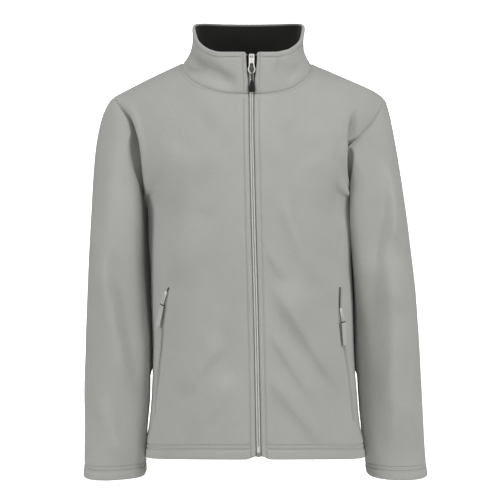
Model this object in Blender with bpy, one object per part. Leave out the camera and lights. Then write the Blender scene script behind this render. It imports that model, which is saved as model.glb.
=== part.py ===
"""Fleece zip jacket, filled out on a general figure and held up at the shoulders.

Sizes are in millimetres until a mesh is made, which turns them to metres. X runs to the wearer's left, Y to the
back and Z up. The origin lies midway between the shoulders, at the height where they carry the jacket.
Every cloth piece is a wall: a grid of outer points, the same grid moved in by the cloth's thickness, and the
strip of edge between them. Pieces that are sewn together share the points and normals of their seam and stop
half a gap short of it.
"""

import math

import bmesh
import bpy
import numpy as np

MM = 0.001
RIGHT, LEFT = -1, 1  # the wearer's sides, and the sign of X there
FORWARD, BACKWARD, UP = np.array([0, -1.0, 0]), np.array([0, 1.0, 0]), np.array([0, 0, 1.0])

# Cloth, in millimetres
FLEECE = 2.4  # thickness of the outer cloth
TURNED_UP = 4.4  # thickness where a hem or cuff is turned up double
HEM_HEIGHT = 25.0
CUFF_HEIGHT = 24.0
LINING = 1.7  # thickness of the collar's inner cloth
SEAM_GAP = 0.3
LAID_ON = 0.35  # gap under a piece that lies on a panel

# Grids
LOWER_ROWS = 14  # from the turned-up hem to the underarm
CHEST_ROWS = 6  # from the underarm to the pit of the neck
NECK_ROWS = 6  # along the front neckline
UPPER_ROWS = CHEST_ROWS + NECK_ROWS
FRONT_COLUMNS = 14
SHOULDER_COLUMNS = 7  # of the back panel, under each shoulder seam
BACK_NECK_COLUMNS = 8
SLEEVE_CAP_ROWS = 8
COLLAR_ROWS = 5

# Torso section: a superellipse in plan, closed over the shoulders by a rounded ridge
SIDE_POWER = 2.4
CHEST_POWER = 1.95  # the section is closer to an ellipse above the underarm
RIDGE_POWER = 1.8
FRONT_RIDGE_HEIGHT = 150.0  # how far below the ridge the front reaches its full depth
BACK_RIDGE_HEIGHT = 135.0

STIFF_AT_ZIP = 30.0  # the zip keeps folds this far away
UNDERARM_LEVEL = -207.0  # at the zip
NECK_PIT_Z = -33.0
BACK_NECK_Z = 34.0
SHOULDER_POINT_BEND = 45.0  # degrees by which the cloth has turned down at the shoulder point


def smooth(at, known, values):
    """Values between known places, on a cubic that never swings past its neighbours."""
    known, values = np.asarray(known, float), np.asarray(values, float)
    step = np.diff(known)
    slope = np.diff(values) / step
    both = slope[:-1] + slope[1:]
    turning = slope[:-1] * slope[1:] <= 0
    tangent = np.zeros(len(known))
    tangent[1:-1] = np.where(turning, 0, 2 * slope[:-1] * slope[1:] / np.where(turning, 1, both))
    tangent[0], tangent[-1] = slope[0], slope[-1]
    at = np.clip(at, known[0], known[-1])
    i = np.clip(np.searchsorted(known, at) - 1, 0, len(step) - 1)
    t = (at - known[i]) / step[i]
    rise = values[i] * (1 + 2 * t) * (1 - t) ** 2 + values[i + 1] * t**2 * (3 - 2 * t)
    return rise + step[i] * (tangent[i] * t * (1 - t) ** 2 + tangent[i + 1] * t**2 * (t - 1))


class Table:
    """Sizes in named columns, read smoothly between rows by the first column."""

    def __init__(self, names, rows):
        self.columns = dict(zip(names.split(), np.array(rows, float).T))
        self.at = self.columns[names.split()[0]]

    def __call__(self, name, at):
        return smooth(at, self.at, self.columns[name])


# The torso by height. Above the underarm, right and left are where the section would close without an armhole.
TORSO = Table(
    "z right left front back side",
    [
        (-660, -181.0, 198.5, -124, 108, -4),
        (-600, -175.5, 191.0, -127, 104, -4),
        (-540, -171.0, 186.0, -128, 98, -4),
        (-470, -169.5, 181.0, -128, 92, -4),
        (-385, -172.0, 179.5, -131, 94, -4),
        (-300, -173.5, 176.0, -134, 104, -4),
        (-240, -173.0, 173.5, -136, 114, -4),
        (-220, -176.0, 176.0, -136, 117, -4),
        (-203, -183.0, 181.0, -136, 118, -4),
        (-166, -201.0, 192.0, -133, 120, -3),
        (-130, -217.0, 207.0, -128, 121, -2),
        (-90, -236.0, 227.0, -121, 120, 0),
        (-52, -262.0, 257.0, -113, 117, 0),
        (-30, -276.0, 274.0, -108, 114, 0),
        (60, -290.0, 290.0, -104, 108, 0),
    ],
)

# The shoulder ridge, seen from the front
RIDGE = Table(
    "x z",
    [
        (-247, -38),
        (-240, -31),
        (-215, -17.5),
        (-175, 3),
        (-117, 30),
        (-60, 54),
        (-5, 62),
        (50, 54),
        (106, 29),
        (175, -0.5),
        (213, -17.5),
        (228, -27),
        (235, -33),
        (240, -41),
    ],
)

# Armholes, seen from the front: u runs from the underarm (0) to the shoulder point (1)
ARMHOLE = Table(
    "u right_x right_z left_x left_z",
    [
        (0.00, -183, -203, 181, -205),
        (0.14, -187, -178, 175, -182),
        (0.30, -192, -150, 173, -155),
        (0.45, -197, -122, 177, -128),
        (0.60, -203, -95, 190, -102),
        (0.75, -212, -71, 208, -80),
        (0.88, -225, -51, 224, -58),
        (1.00, -240, -31, 235, -33),
    ],
)

# The front opening by height: the zip's centre line and half the gap between the two fronts
OPENING = Table(
    "z centre half_gap",
    [
        (-660, 15.0, 5.2),
        (-430, 10.5, 4.8),
        (-220, 6.0, 4.8),
        (-70, 3.2, 4.8),
        (-33, 2.8, 5.0),
    ],
)

# The top edge of the collar, by the angle round the neck from the front opening (0) to the centre back (180)
COLLAR_TOP = Table(
    "angle right_x left_x y z",
    [
        (0, -6.5, 12, -92, 39),
        (28, -50, 42, -86, 40.5),
        (45, -68, 62, -76, 48),
        (60, -83, 79, -58, 62),
        (72, -93.5, 89.5, -38, 78),
        (90, -101, 96, -6, 95),
        (115, -96, 92, 26, 102),
        (140, -72, 68, 46, 105),
        (162, -36, 31, 55, 105),
        (180, -3, -3, 57, 105),
    ],
)

# Sleeves below the underarm, by height: outer and inner edge, middle and half of the depth
SLEEVE_NAMES = "z outer inner middle half_depth"
SLEEVES = {
    RIGHT: Table(
        SLEEVE_NAMES,
        [
            (-687, -289.5, -181.0, -20, 27),
            (-660, -288.0, -181.0, -19, 29),
            (-600, -287.8, -179.0, -16, 34),
            (-540, -288.8, -175.0, -12, 41),
            (-470, -287.5, -173.6, -6, 49),
            (-385, -284.5, -180.0, -2, 59),
            (-315, -281.5, -184.8, -2, 68),
            (-262, -278.8, -185.5, -2, 72),
        ],
    ),
    LEFT: Table(
        SLEEVE_NAMES,
        [
            (-687, 308.5, 204.0, -20, 27),
            (-660, 305.5, 202.0, -19, 29),
            (-600, 301.5, 196.0, -16, 34),
            (-540, 298.0, 191.0, -12, 41),
            (-470, 294.5, 185.6, -6, 49),
            (-385, 288.5, 183.6, -2, 59),
            (-315, 282.5, 180.8, -2, 68),
            (-262, 276.5, 179.0, -2, 72),
        ],
    ),
}
SLEEVE_POWER = 2.2
CAP_LEVEL = -262.0
CAP_PUFF = {RIGHT: 150.0, LEFT: 44.0}  # how strongly the cap leaves the shoulder point before it falls
UNDERARM_PUFF = 9.0
CUFF_TILT_FROM = -560.0
CUFF_FRONT_DROP = 8.0
CUFF_INNER_RISE = {RIGHT: 3.0, LEFT: 1.0}

# The largest soft folds: from one end to the other, as seen from the front or back, with depth out of the cloth
FOLD_NAMES = ("panel", "x1", "z1", "x2", "z2", "width", "depth")
FOLDS = [
    ("front", 72, -195, 138, -345, 15, 3.0),
    ("front", 46, -262, 92, -330, 17, -3.0),
    ("front", 48, -370, 160, -545, 20, -4.5),
    ("front", 36, -440, 138, -615, 17, 3.5),
    ("front", 28, -490, 78, -560, 14, -2.5),
    ("front", -108, -200, -142, -330, 18, -3.0),
    ("front", -20, -500, -112, -590, 17, 3.0),
    ("front", -62, -575, -22, -560, 18, -3.0),
    ("back", -120, -190, -60, -420, 26, -4.0),
    ("back", 125, -200, 55, -440, 26, -4.0),
    ("back", -20, -330, 30, -600, 24, 3.0),
    ("back", -150, -420, -70, -610, 20, 3.0),
]
SLEEVE_FOLD_NAMES = ("side", "angle1", "z1", "angle2", "z2", "width", "depth")
SLEEVE_FOLDS = [
    (RIGHT, 40, -300, 105, -520, 15, -4.0),
    (RIGHT, 70, -560, 120, -660, 13, -3.0),
    (LEFT, 42, -120, 42, -430, 12, 3.0),
    (LEFT, 62, -250, 80, -560, 15, -3.5),
    (RIGHT, 250, -300, 300, -480, 15, -4.0),
    (LEFT, 250, -320, 310, -500, 15, -4.0),
]
ELBOW_RADIUS = 55.0  # turns a sleeve's angles to a distance round it

# Front zip
TAPE = 0.8
TAPE_UNDER = 10.0  # how far a tape reaches behind the edge of the cloth
CHAIN_HALF = 3.0
CHAIN_DEPTH = (0.4, 2.4)  # its front and back, behind the outer surface
BOX_BOTTOM, BOX_TOP = -649.5, -641.5
SLIDER_Z = 27.0
DROP_END_Z = -31.0
LUG_HALF = 1.2
# Places down the slider: half width and height of the lug the pull hangs in
SLIDER_STATIONS = [
    (-8.2, 3.6, 0.3),
    (-7.4, 4.3, 0.8),
    (-6.4, 4.6, 2.6),
    (-3.2, 4.7, 2.6),
    (-1.6, 4.7, 0.8),
    (0.5, 4.5, 0.3),
    (5.0, 4.1, 0.3),
    (8.2, 3.9, 0.3),
]
PULL_OUT = 3.2  # the pull's plane, in front of the outer surface
RING_WIRE = 0.9
# Half of the pull, across and down, from beside the lug to its lowest point
RING_PATH = [
    (1.55, -5.0),
    (2.6, -5.0),
    (3.5, -4.4),
    (3.9, -3.2),
    (3.8, 2.0),
    (3.7, 8.0),
    (3.9, 12.5),
    (4.9, 16.0),
    (5.5, 18.6),
    (5.2, 21.2),
    (4.0, 23.6),
    (2.0, 24.9),
    (0.0, 25.2),
]
CORD_RADIUS = 0.75
# The cord through the pull: across, out of the cloth and down, in one loop from the drop and back to it
CORD_PATH = [
    (1.5, 3.6, 36.6),
    (1.2, 4.6, 31.0),
    (1.1, 5.2, 25.2),
    (1.5, 4.7, 20.5),
    (1.9, 3.9, 17.0),
    (1.4, 3.4, 12.6),
    (0.8, 3.2, 11.0),
    (0.0, 3.1, 10.4),
    (-0.8, 2.9, 11.0),
    (-1.4, 2.6, 12.6),
    (-1.9, 1.8, 17.0),
    (-1.5, 1.0, 20.5),
    (-1.1, 0.85, 25.2),
    (-0.8, 1.3, 31.0),
    (-0.4, 2.2, 36.6),
]
# The moulded drop: places down it, half width and half depth
DROP_STATIONS = [
    (37.2, 1.9, 1.5),
    (38.2, 2.3, 1.8),
    (42.0, 3.3, 2.1),
    (47.0, 4.7, 2.3),
    (52.0, 5.6, 2.3),
    (55.2, 5.7, 2.1),
    (56.8, 5.0, 1.7),
    (57.4, 3.6, 1.0),
]

# Pocket zips, seen from the front
POCKET_ROWS = 36
POCKET_OFF = 0.8  # gap to the front's facets
POCKET_THICK = 1.4
POCKET = {
    RIGHT: Table("z x", [(-582, -163), (-543, -159.4), (-515, -156), (-460, -150), (-382, -143.9), (-363, -138)]),
    LEFT: Table("z x", [(-593, 182), (-545, 179.8), (-516, 176.5), (-488, 167.3), (-440, 159), (-400, 153), (-364, 154)]),
}
POCKET_SLIDER_Z = {RIGHT: -375.0, LEFT: -404.0}
POCKET_PULL_LEAN = {RIGHT: 6.0, LEFT: 1.0}  # degrees off the zip's own line
# Places down a pocket slider: half width and height of its lug
POCKET_SLIDER_STATIONS = [
    (-8.0, 2.4, 0.2),
    (-7.0, 3.0, 0.5),
    (-5.0, 3.2, 0.9),
    (-4.0, 3.2, 2.0),
    (-0.5, 3.1, 2.0),
    (0.5, 3.0, 0.6),
    (4.0, 2.6, 0.2),
    (8.0, 2.4, 0.2),
]
# Half of a wire loop: across, out and down, from beside the lug to the end it carries
POCKET_LOOP = [
    (1.8, 2.2, -2.0),
    (2.3, 2.2, -1.6),
    (2.5, 2.2, 0.0),
    (2.4, 2.4, 6.0),
    (2.2, 3.2, 11.5),
    (1.4, 3.4, 13.0),
    (0.0, 3.4, 13.5),
]
# The tab sewn round the loop: places down it, half width and half depth
POCKET_TAB_STATIONS = [
    (14.6, 2.6, 0.9),
    (15.4, 3.4, 1.25),
    (18.0, 3.5, 1.3),
    (50.0, 3.5, 1.3),
    (55.0, 3.5, 1.2),
    (55.8, 3.2, 0.9),
]


def unit(vectors):
    return vectors / np.maximum(np.linalg.norm(vectors, axis=-1, keepdims=True), 1e-9)


def side_name(side):
    return "left" if side == LEFT else "right"


def spaced(count, power=1.5):
    """Places from 0 to 1, closer together towards 1."""
    return 1 - (1 - np.arange(count + 1) / count) ** power


def soft_step(value):
    value = np.clip(value, 0, 1)
    return value * value * (3 - 2 * value)


def superellipse(share, power):
    """The depth of a superellipse at a share of its half width."""
    return (1 - np.clip(share, 0, 1) ** power) ** (1 / power)


def fold_lift(u, w, rows, first, names):
    """How far folds lift the cloth at (u, w): each is a soft ridge or trough along a line, fading at its ends."""
    lift = np.zeros(np.broadcast(u, w).shape)
    for row in rows:
        fold = dict(zip(names, row))
        if fold[names[0]] != first:
            continue
        (u1, w1, u2, w2, width, depth) = (fold[name] for name in names[1:])
        length = math.hypot(u2 - u1, w2 - w1)
        along = ((u - u1) * (u2 - u1) + (w - w1) * (w2 - w1)) / length**2
        across = ((u - u1) * (w2 - w1) - (w - w1) * (u2 - u1)) / length
        ends = soft_step(along * 3) * soft_step((1 - along) * 3)
        lift += depth * ends * np.exp(-((across / width) ** 2))
    return lift


# ---------------------------------------------------------------- torso surface


def torso_point(x, z, front):
    """The outer surface over (x, z): a superellipse in plan times the rounding below the shoulder ridge."""
    centre = OPENING("centre", z) if front else (TORSO("right", z) + TORSO("left", z)) / 2
    reach = np.where(x < centre, TORSO("right", z), TORSO("left", z))
    power = SIDE_POWER + (CHEST_POWER - SIDE_POWER) * soft_step((z + 300) / 130)
    across = superellipse((x - centre) / (reach - centre), power)
    height = FRONT_RIDGE_HEIGHT if front else BACK_RIDGE_HEIGHT
    below = np.clip((RIDGE("z", x) - z) / height, 0, 1)
    over = superellipse(1 - below, RIDGE_POWER)
    side = TORSO("side", z)
    full = TORSO("front" if front else "back", z)
    y = side + (full - side) * across * over
    lift = fold_lift(x, z, FOLDS, "front" if front else "back", FOLD_NAMES)
    fade = np.clip(across * over * 2.5 - 0.6, 0, 1)
    if front:
        fade = fade * soft_step((np.abs(x - centre) - STIFF_AT_ZIP) / STIFF_AT_ZIP)
    return np.stack([x, y + lift * fade * (-1 if front else 1), z], -1)


def hem_z(share, front):
    """The bottom edge: a little lower at the sides, and rounded up at the front opening."""
    middle = -650.0 if front else -654.0
    level = middle + (-657.0 - middle) * share**3
    return level + (3.0 * np.exp(-((share / 0.035) ** 2)) if front else 0)


def lower_levels():
    """Shares of the way from the underarm down to the hem; the first four rows bound the turned-up edge."""
    turned = np.array([0, 2.5, HEM_HEIGHT - 2, HEM_HEIGHT + 2]) / (UNDERARM_LEVEL + 650.0)
    return np.concatenate([1 - turned, np.linspace(1 - turned[-1], 0, LOWER_ROWS)[1:]])


def neckline(side, share):
    """(x, z) of the front neckline from the pit (0) to the shoulder (1), and of the back one from 1 to 2."""
    start = OPENING("centre", NECK_PIT_Z) + side * OPENING("half_gap", NECK_PIT_Z)
    end_x = 106.0 if side == LEFT else -117.0
    end_z = RIDGE("z", end_x)
    angle = share * math.pi / 2
    back_middle = -5.0
    x_front = start + (end_x - start) * np.sin(angle)
    z_front = NECK_PIT_Z + (end_z - NECK_PIT_Z) * (1 - np.cos(angle)) ** 1.15
    x_back = back_middle + (end_x - back_middle) * np.sin(angle)
    z_back = BACK_NECK_Z + (end_z - BACK_NECK_Z) * np.clip(np.sin(angle), 0, 1) ** 3
    behind = share > 1
    return np.where(behind, x_back, x_front), np.where(behind, z_back, z_front)


def armhole(side, share):
    return ARMHOLE(side_name(side) + "_x", share), ARMHOLE(side_name(side) + "_z", share)


def shoulder_seam(side, count):
    """The seam from the neck (0) to the shoulder point, straight between the back panel's columns."""
    neck_x, _ = neckline(side, np.array(1.0))
    tip_x, _ = armhole(side, np.array(1.0))
    x = np.linspace(float(neck_x), float(tip_x), SHOULDER_COLUMNS + 1)
    corners = np.stack([x, TORSO("side", RIDGE("z", x)), RIDGE("z", x)], -1)
    at = np.linspace(0, SHOULDER_COLUMNS, count + 1)
    return np.stack([np.interp(at, np.arange(SHOULDER_COLUMNS + 1), corners[:, i]) for i in range(3)], -1)


def front_grid(side):
    """Points of a front: rows from hem to shoulder seam, columns from the zip outwards."""
    share = np.linspace(0, 1, FRONT_COLUMNS + 1)
    rounded = np.sin(share * math.pi / 2) ** (2 / SIDE_POWER)
    rows = []
    for level in lower_levels():
        z = UNDERARM_LEVEL + (hem_z(rounded, True) - UNDERARM_LEVEL) * level
        z = z + (armhole(side, 0.0)[1] - UNDERARM_LEVEL) * rounded * (1 - level)
        start = OPENING("centre", z) + side * OPENING("half_gap", z)
        x = start + (TORSO(side_name(side), z) - start) * rounded
        rows.append(torso_point(x, z, True))
    up = spaced(UPPER_ROWS)
    for row in range(1, UPPER_ROWS):
        if row <= CHEST_ROWS:
            inner_z = UNDERARM_LEVEL + (NECK_PIT_Z - UNDERARM_LEVEL) * row / CHEST_ROWS
            inner_x = OPENING("centre", inner_z) + side * OPENING("half_gap", inner_z)
        else:
            inner_x, inner_z = neckline(side, np.array(spaced(NECK_ROWS)[row - CHEST_ROWS]))
        outer_x, outer_z = armhole(side, up[row])
        even = soft_step(up[row] / 0.8)
        at = rounded + (share - rounded) * even
        rows.append(torso_point(inner_x + (outer_x - inner_x) * at, inner_z + (outer_z - inner_z) * at, True))
    rows.append(shoulder_seam(side, FRONT_COLUMNS))
    return np.array(rows)


def back_grid():
    """Points of the back: rows from hem to the shoulder seams and neck, columns from right to left."""
    columns = 2 * SHOULDER_COLUMNS + BACK_NECK_COLUMNS
    angle = np.linspace(-1, 1, columns + 1) * math.pi / 2
    rounded = np.sign(angle) * np.abs(np.sin(angle)) ** (2 / SIDE_POWER)

    def across(z):
        right, left = TORSO("right", z), TORSO("left", z)
        middle = (right + left) / 2
        return middle + np.where(rounded < 0, middle - right, left - middle) * rounded

    rows = []
    ends_z = {side: float(armhole(side, 0.0)[1]) for side in (RIGHT, LEFT)}
    top_level = np.interp(rounded, [-1, 0, 1], [ends_z[RIGHT], UNDERARM_LEVEL, ends_z[LEFT]])
    for level in lower_levels():
        z = top_level + (hem_z(np.abs(rounded), False) - top_level) * level
        rows.append(torso_point(across(z), z, False))
    bottom = rows[-1][:, [0, 2]]
    neck_share = 2 - np.linspace(0, 1, BACK_NECK_COLUMNS // 2 + 1)
    right_neck = np.stack(neckline(RIGHT, neck_share), -1)[::-1]
    left_neck = np.stack(neckline(LEFT, neck_share), -1)
    seams = {side: shoulder_seam(side, SHOULDER_COLUMNS) for side in (RIGHT, LEFT)}
    top = np.concatenate([seams[RIGHT][::-1][:-1, [0, 2]], right_neck, left_neck[1:], seams[LEFT][1:][:, [0, 2]]])
    up = spaced(UPPER_ROWS)
    a = (np.arange(columns + 1) / columns)[:, None]
    for b in up[1:-1]:
        right_edge = np.array([float(v) for v in armhole(RIGHT, b)])
        left_edge = np.array([float(v) for v in armhole(LEFT, b)])
        corners = (1 - a) * ((1 - b) * bottom[0] + b * top[0]) + a * ((1 - b) * bottom[-1] + b * top[-1])
        point = (1 - b) * bottom + b * top + (1 - a) * right_edge + a * left_edge - corners
        rows.append(torso_point(point[:, 0], point[:, 1], False))
    last = torso_point(top[:, 0], top[:, 1], False)
    last[: SHOULDER_COLUMNS + 1] = seams[RIGHT][::-1]
    last[-SHOULDER_COLUMNS - 1 :] = seams[LEFT]
    rows.append(last)
    return np.array(rows)


# ---------------------------------------------------------------- seams


def seam_normals(points, across, outside, closed=False):
    """Normals shared by both sides of a seam: square to the seam and to the cloth's way across it."""
    if closed:
        along = np.roll(points, -1, 0) - np.roll(points, 1, 0)
    else:
        along = np.gradient(points, axis=0)
    normal = unit(np.cross(along, across))
    return normal * np.sign((normal * outside).sum(-1))[..., None]


def armhole_across(side, share):
    """The cloth's way over the armhole seam, out of the body and, near the shoulder point, downwards."""
    turn = np.radians(SHOULDER_POINT_BEND) * soft_step((np.asarray(share) - 0.55) / 0.45)
    return np.stack([side * np.cos(turn), 0 * turn, -np.sin(turn)], -1)


def neck_across(x):
    """The cloth's way over the neck seam, from the body up into the collar and inwards at the sides."""
    lean = np.clip(x / 115, -1, 1)
    return unit(np.stack([-0.75 * lean, 0 * lean, 1 - 0.2 * np.abs(lean)], -1))


def grid_normals(grid, outside, closed=False):
    """Normals of a grid of points, turned to the same side as outside."""
    if closed:
        along = np.roll(grid, -1, 1) - np.roll(grid, 1, 1)
    else:
        along = np.gradient(grid, axis=1)
    normal = unit(np.cross(along, np.gradient(grid, axis=0)))
    return normal * np.sign((normal * outside).sum())


# ---------------------------------------------------------------- meshes


def material(name, colour, roughness, metallic=0.0):
    made = bpy.data.materials.new(name)
    made.use_nodes = True
    shader = made.node_tree.nodes["Principled BSDF"]
    shader.inputs["Base Color"].default_value = (*colour, 1)
    shader.inputs["Roughness"].default_value = roughness
    shader.inputs["Metallic"].default_value = metallic
    return made


def add_object(name, points, faces, finish):
    """One closed piece from points in millimetres."""
    mesh = bpy.data.meshes.new(name)
    mesh.from_pydata([tuple(point) for point in np.asarray(points) * MM], [], faces)
    mesh.materials.append(finish)
    mesh.shade_smooth()
    mesh.set_sharp_from_angle(angle=math.radians(50))
    piece = bpy.data.objects.new(name, mesh)
    bpy.context.scene.collection.objects.link(piece)
    return piece


def wall(name, outer, inner, finish, closed=False):
    """The closed wall between two grids of the same size; closed joins the last column to the first."""
    rows, columns = outer.shape[:2]
    points = np.concatenate([outer.reshape(-1, 3), inner.reshape(-1, 3)])
    index = np.arange(rows * columns).reshape(rows, columns)
    if closed:
        index = np.concatenate([index, index[:, :1]], 1)
    a, b, c, d = index[:-1, :-1], index[:-1, 1:], index[1:, 1:], index[1:, :-1]
    quads = np.stack([a, b, c, d], -1).reshape(-1, 4)
    back = quads[:, [0, 3, 2, 1]] + rows * columns
    edges = [index[0], index[-1][::-1]]
    if not closed:
        edges += [index[::-1, 0], index[:, -1]]
    rim = []
    for edge in edges:
        rim.append(np.stack([edge[1:], edge[:-1], edge[:-1] + rows * columns, edge[1:] + rows * columns], -1))
    rim = np.concatenate(rim)
    longer = np.linalg.norm(points[rim[:, 0]] - points[rim[:, 2]], axis=1)
    longer = longer > np.linalg.norm(points[rim[:, 1]] - points[rim[:, 3]], axis=1)
    rim[longer] = np.roll(rim[longer], 1, 1)
    quads = np.concatenate([quads, back, rim])
    faces = np.concatenate([quads[:, [0, 1, 2]], quads[:, [0, 2, 3]]])
    first = points[faces[:, 0]]
    volume = np.einsum("ij,ij->", first, np.cross(points[faces[:, 1]] - first, points[faces[:, 2]] - first))
    if volume < 0:
        faces = faces[:, ::-1]
    return add_object(name, points, faces.tolist(), finish)


def loft(name, rings, finish, origin=(0, 0, 0)):
    """A closed piece through closed rings of points, capped at both ends, with its own origin."""
    rings = np.asarray(rings) - origin
    count, around = rings.shape[:2]
    index = np.arange(count * around).reshape(count, around)
    turned = np.roll(index, -1, 1)
    sides = np.stack([index[:-1], turned[:-1], turned[1:], index[1:]], -1).reshape(-1, 4)
    faces = [*sides.tolist(), index[0, ::-1].tolist(), index[-1].tolist()]
    piece = add_object(name, rings.reshape(-1, 3), faces, finish)
    mesh = bmesh.new()
    mesh.from_mesh(piece.data)
    if mesh.calc_volume(signed=True) < 0:
        bmesh.ops.reverse_faces(mesh, faces=mesh.faces)
    mesh.to_mesh(piece.data)
    mesh.free()
    piece.location = np.asarray(origin) * MM
    return piece


class Frame:
    """A place on the cloth: across it to the wearer's left, out of it, and down along a zip."""

    def __init__(self, origin, out, down):
        self.origin = np.asarray(origin, float)
        self.down = unit(np.asarray(down, float))
        self.out = unit(out - (out @ self.down) * self.down)
        self.across = np.cross(self.down, self.out)
        self.across *= np.sign(self.across[0])

    def __call__(self, across, out, down):
        across, out, down = np.broadcast_arrays(across, out, down)
        parts = ((across, self.across), (out, self.out), (down, self.down))
        return self.origin + sum(np.asarray(size, float)[..., None] * axis for size, axis in parts)


def tube(path, radius, facing, sides=8):
    """Rings round a path; facing is a direction the path never runs along."""
    along = unit(np.gradient(path, axis=0))
    u = unit(np.cross(along, facing))
    v = np.cross(along, u)
    turn = np.arange(sides) / sides * 2 * math.pi
    return path[:, None] + radius * (np.cos(turn)[:, None] * u[:, None] + np.sin(turn)[:, None] * v[:, None])


# ---------------------------------------------------------------- cloth pieces


class Body:
    """The fronts and the back as grids of points with normals, alike along every seam they share."""

    def __init__(self):
        self.fronts = {side: front_grid(side) for side in (RIGHT, LEFT)}
        self.back = back_grid()
        self.front_normals = {side: grid_normals(self.fronts[side], np.array([0, -1.0, 0])) for side in (RIGHT, LEFT)}
        self.back_normals = grid_normals(self.back, np.array([0, 1.0, 0]))
        self.underarm = len(self.back) - UPPER_ROWS - 1
        self.pit = self.underarm + CHEST_ROWS
        for side in (RIGHT, LEFT):
            self.join_side(side)
        for side in (RIGHT, LEFT):
            self.join_armhole(side)
        self.join_neck()
        self.front_inner = {side: self.inside_of_front(side) for side in (RIGHT, LEFT)}

    def inside_of_front(self, side):
        """The inner points of a front, doubled in the turned-up hem but single beside the zip."""
        grid = self.fronts[side]
        thick = np.full(grid.shape[:2], FLEECE)
        beside_zip = np.abs(grid[:3, :, 0] - OPENING("centre", grid[:3, :, 2])) < 24
        thick[:3] = np.where(beside_zip, FLEECE, TURNED_UP)
        return grid - self.front_normals[side] * thick[..., None]

    def join_side(self, side):
        column = -1 if side == LEFT else 0
        down = slice(0, self.underarm + 1)
        edge = self.back[down, column]
        normals = seam_normals(edge, FORWARD, np.array([side, 0, 0]))
        self.front_normals[side][down, -1] = normals
        self.back_normals[down, column] = normals
        self.front_normals[side][-1] = seam_normals(self.fronts[side][-1], FORWARD, UP)
        reach = SHOULDER_COLUMNS + 1
        part = slice(-reach, None) if side == LEFT else slice(0, reach)
        self.back_normals[-1, part] = seam_normals(self.back[-1, part], FORWARD, UP)

    def join_armhole(self, side):
        """The armhole as a loop from the shoulder point down the front and up the back."""
        column = -1 if side == LEFT else 0
        up = spaced(UPPER_ROWS)
        front, back = self.fronts[side][self.underarm :, -1], self.back[self.underarm :, column]
        loop = np.concatenate([front[::-1], back[1:-1]])
        share = np.concatenate([up[::-1], up[1:-1]])
        facing = np.concatenate([-np.ones(len(up)), np.ones(len(up) - 2)])
        outside = np.stack([side * share, facing * (1 - np.abs(2 * share - 1)), 2 * share - 1], -1)
        normals = seam_normals(loop, armhole_across(side, share), outside, closed=True)
        self.front_normals[side][self.underarm :, -1] = normals[: len(up)][::-1]
        self.back_normals[self.underarm :, column] = np.concatenate([normals[len(up) - 1 :], normals[:1]])
        return loop, share, normals

    def join_neck(self):
        """The neckline from the left front round the back to the right front."""
        neck = slice(SHOULDER_COLUMNS, SHOULDER_COLUMNS + BACK_NECK_COLUMNS + 1)
        left, right = (self.fronts[side][self.pit : -1, 0] for side in (LEFT, RIGHT))
        line = np.concatenate([left, self.back[-1, neck][::-1], right[::-1]])
        outside = np.stack([line[:, 0], line[:, 1], 30 + 0 * line[:, 0]], -1)
        normals = seam_normals(line, neck_across(line[:, 0]), outside)
        first, last = NECK_ROWS, NECK_ROWS + BACK_NECK_COLUMNS + 1
        self.front_normals[LEFT][self.pit :, 0] = normals[: first + 1]
        self.front_normals[RIGHT][self.pit :, 0] = normals[last - 1 :][::-1]
        self.back_normals[-1, neck] = normals[first:last][::-1]
        front_angle = spaced(NECK_ROWS)[:-1] * 90
        back_angle = 180 - 90 * np.abs(np.linspace(-1, 1, BACK_NECK_COLUMNS + 1))
        return line, normals, np.concatenate([front_angle, back_angle, front_angle[::-1]])


def make_front(body, side, finish):
    grid = body.fronts[side]
    moved = grid.copy()
    half = SEAM_GAP / 2
    moved[: body.underarm + 1, -1] -= BACKWARD * half
    moved[-1] -= BACKWARD * half
    moved[body.underarm :, -1] -= armhole_across(side, spaced(UPPER_ROWS)) * half
    moved[body.pit :, 0] -= neck_across(grid[body.pit :, 0, 0]) * half
    wall(f"front_{side_name(side)}", moved, moved + body.front_inner[side] - grid, finish)


def make_back(body, finish):
    grid = body.back
    moved = grid.copy()
    half = SEAM_GAP / 2
    shoulder = SHOULDER_COLUMNS + 1
    for side, column, part in ((RIGHT, 0, slice(0, shoulder)), (LEFT, -1, slice(-shoulder, None))):
        moved[: body.underarm + 1, column] += BACKWARD * half
        moved[-1, part] += BACKWARD * half
        moved[body.underarm :, column] -= armhole_across(side, spaced(UPPER_ROWS)) * half
    neck = slice(SHOULDER_COLUMNS, SHOULDER_COLUMNS + BACK_NECK_COLUMNS + 1)
    moved[-1, neck] -= neck_across(grid[-1, neck, 0]) * half
    thick = np.full(grid.shape[:2], FLEECE)
    thick[:3] = TURNED_UP
    wall("back", moved, moved - body.back_normals * thick[..., None], finish)


def sleeve_ring(side, z, angle):
    """Points of a sleeve at one height; angle 0 is its outer edge, 90 its front and 180 its inner edge."""
    table = SLEEVES[side]
    outer, inner = table("outer", z), table("inner", z)
    cos, sin = np.cos(np.radians(angle)), np.sin(np.radians(angle))
    power = 2 / SLEEVE_POWER
    x = (outer + inner) / 2 + (outer - inner) / 2 * np.sign(cos) * np.abs(cos) ** power
    y = table("middle", z) - table("half_depth", z) * np.sign(sin) * np.abs(sin) ** power
    tilt = soft_step((CUFF_TILT_FROM - z) / (CUFF_TILT_FROM + 687.0))
    drop = tilt * (CUFF_INNER_RISE[side] * -cos - CUFF_FRONT_DROP * sin)
    return np.stack([x, y, z + drop], -1)


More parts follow.
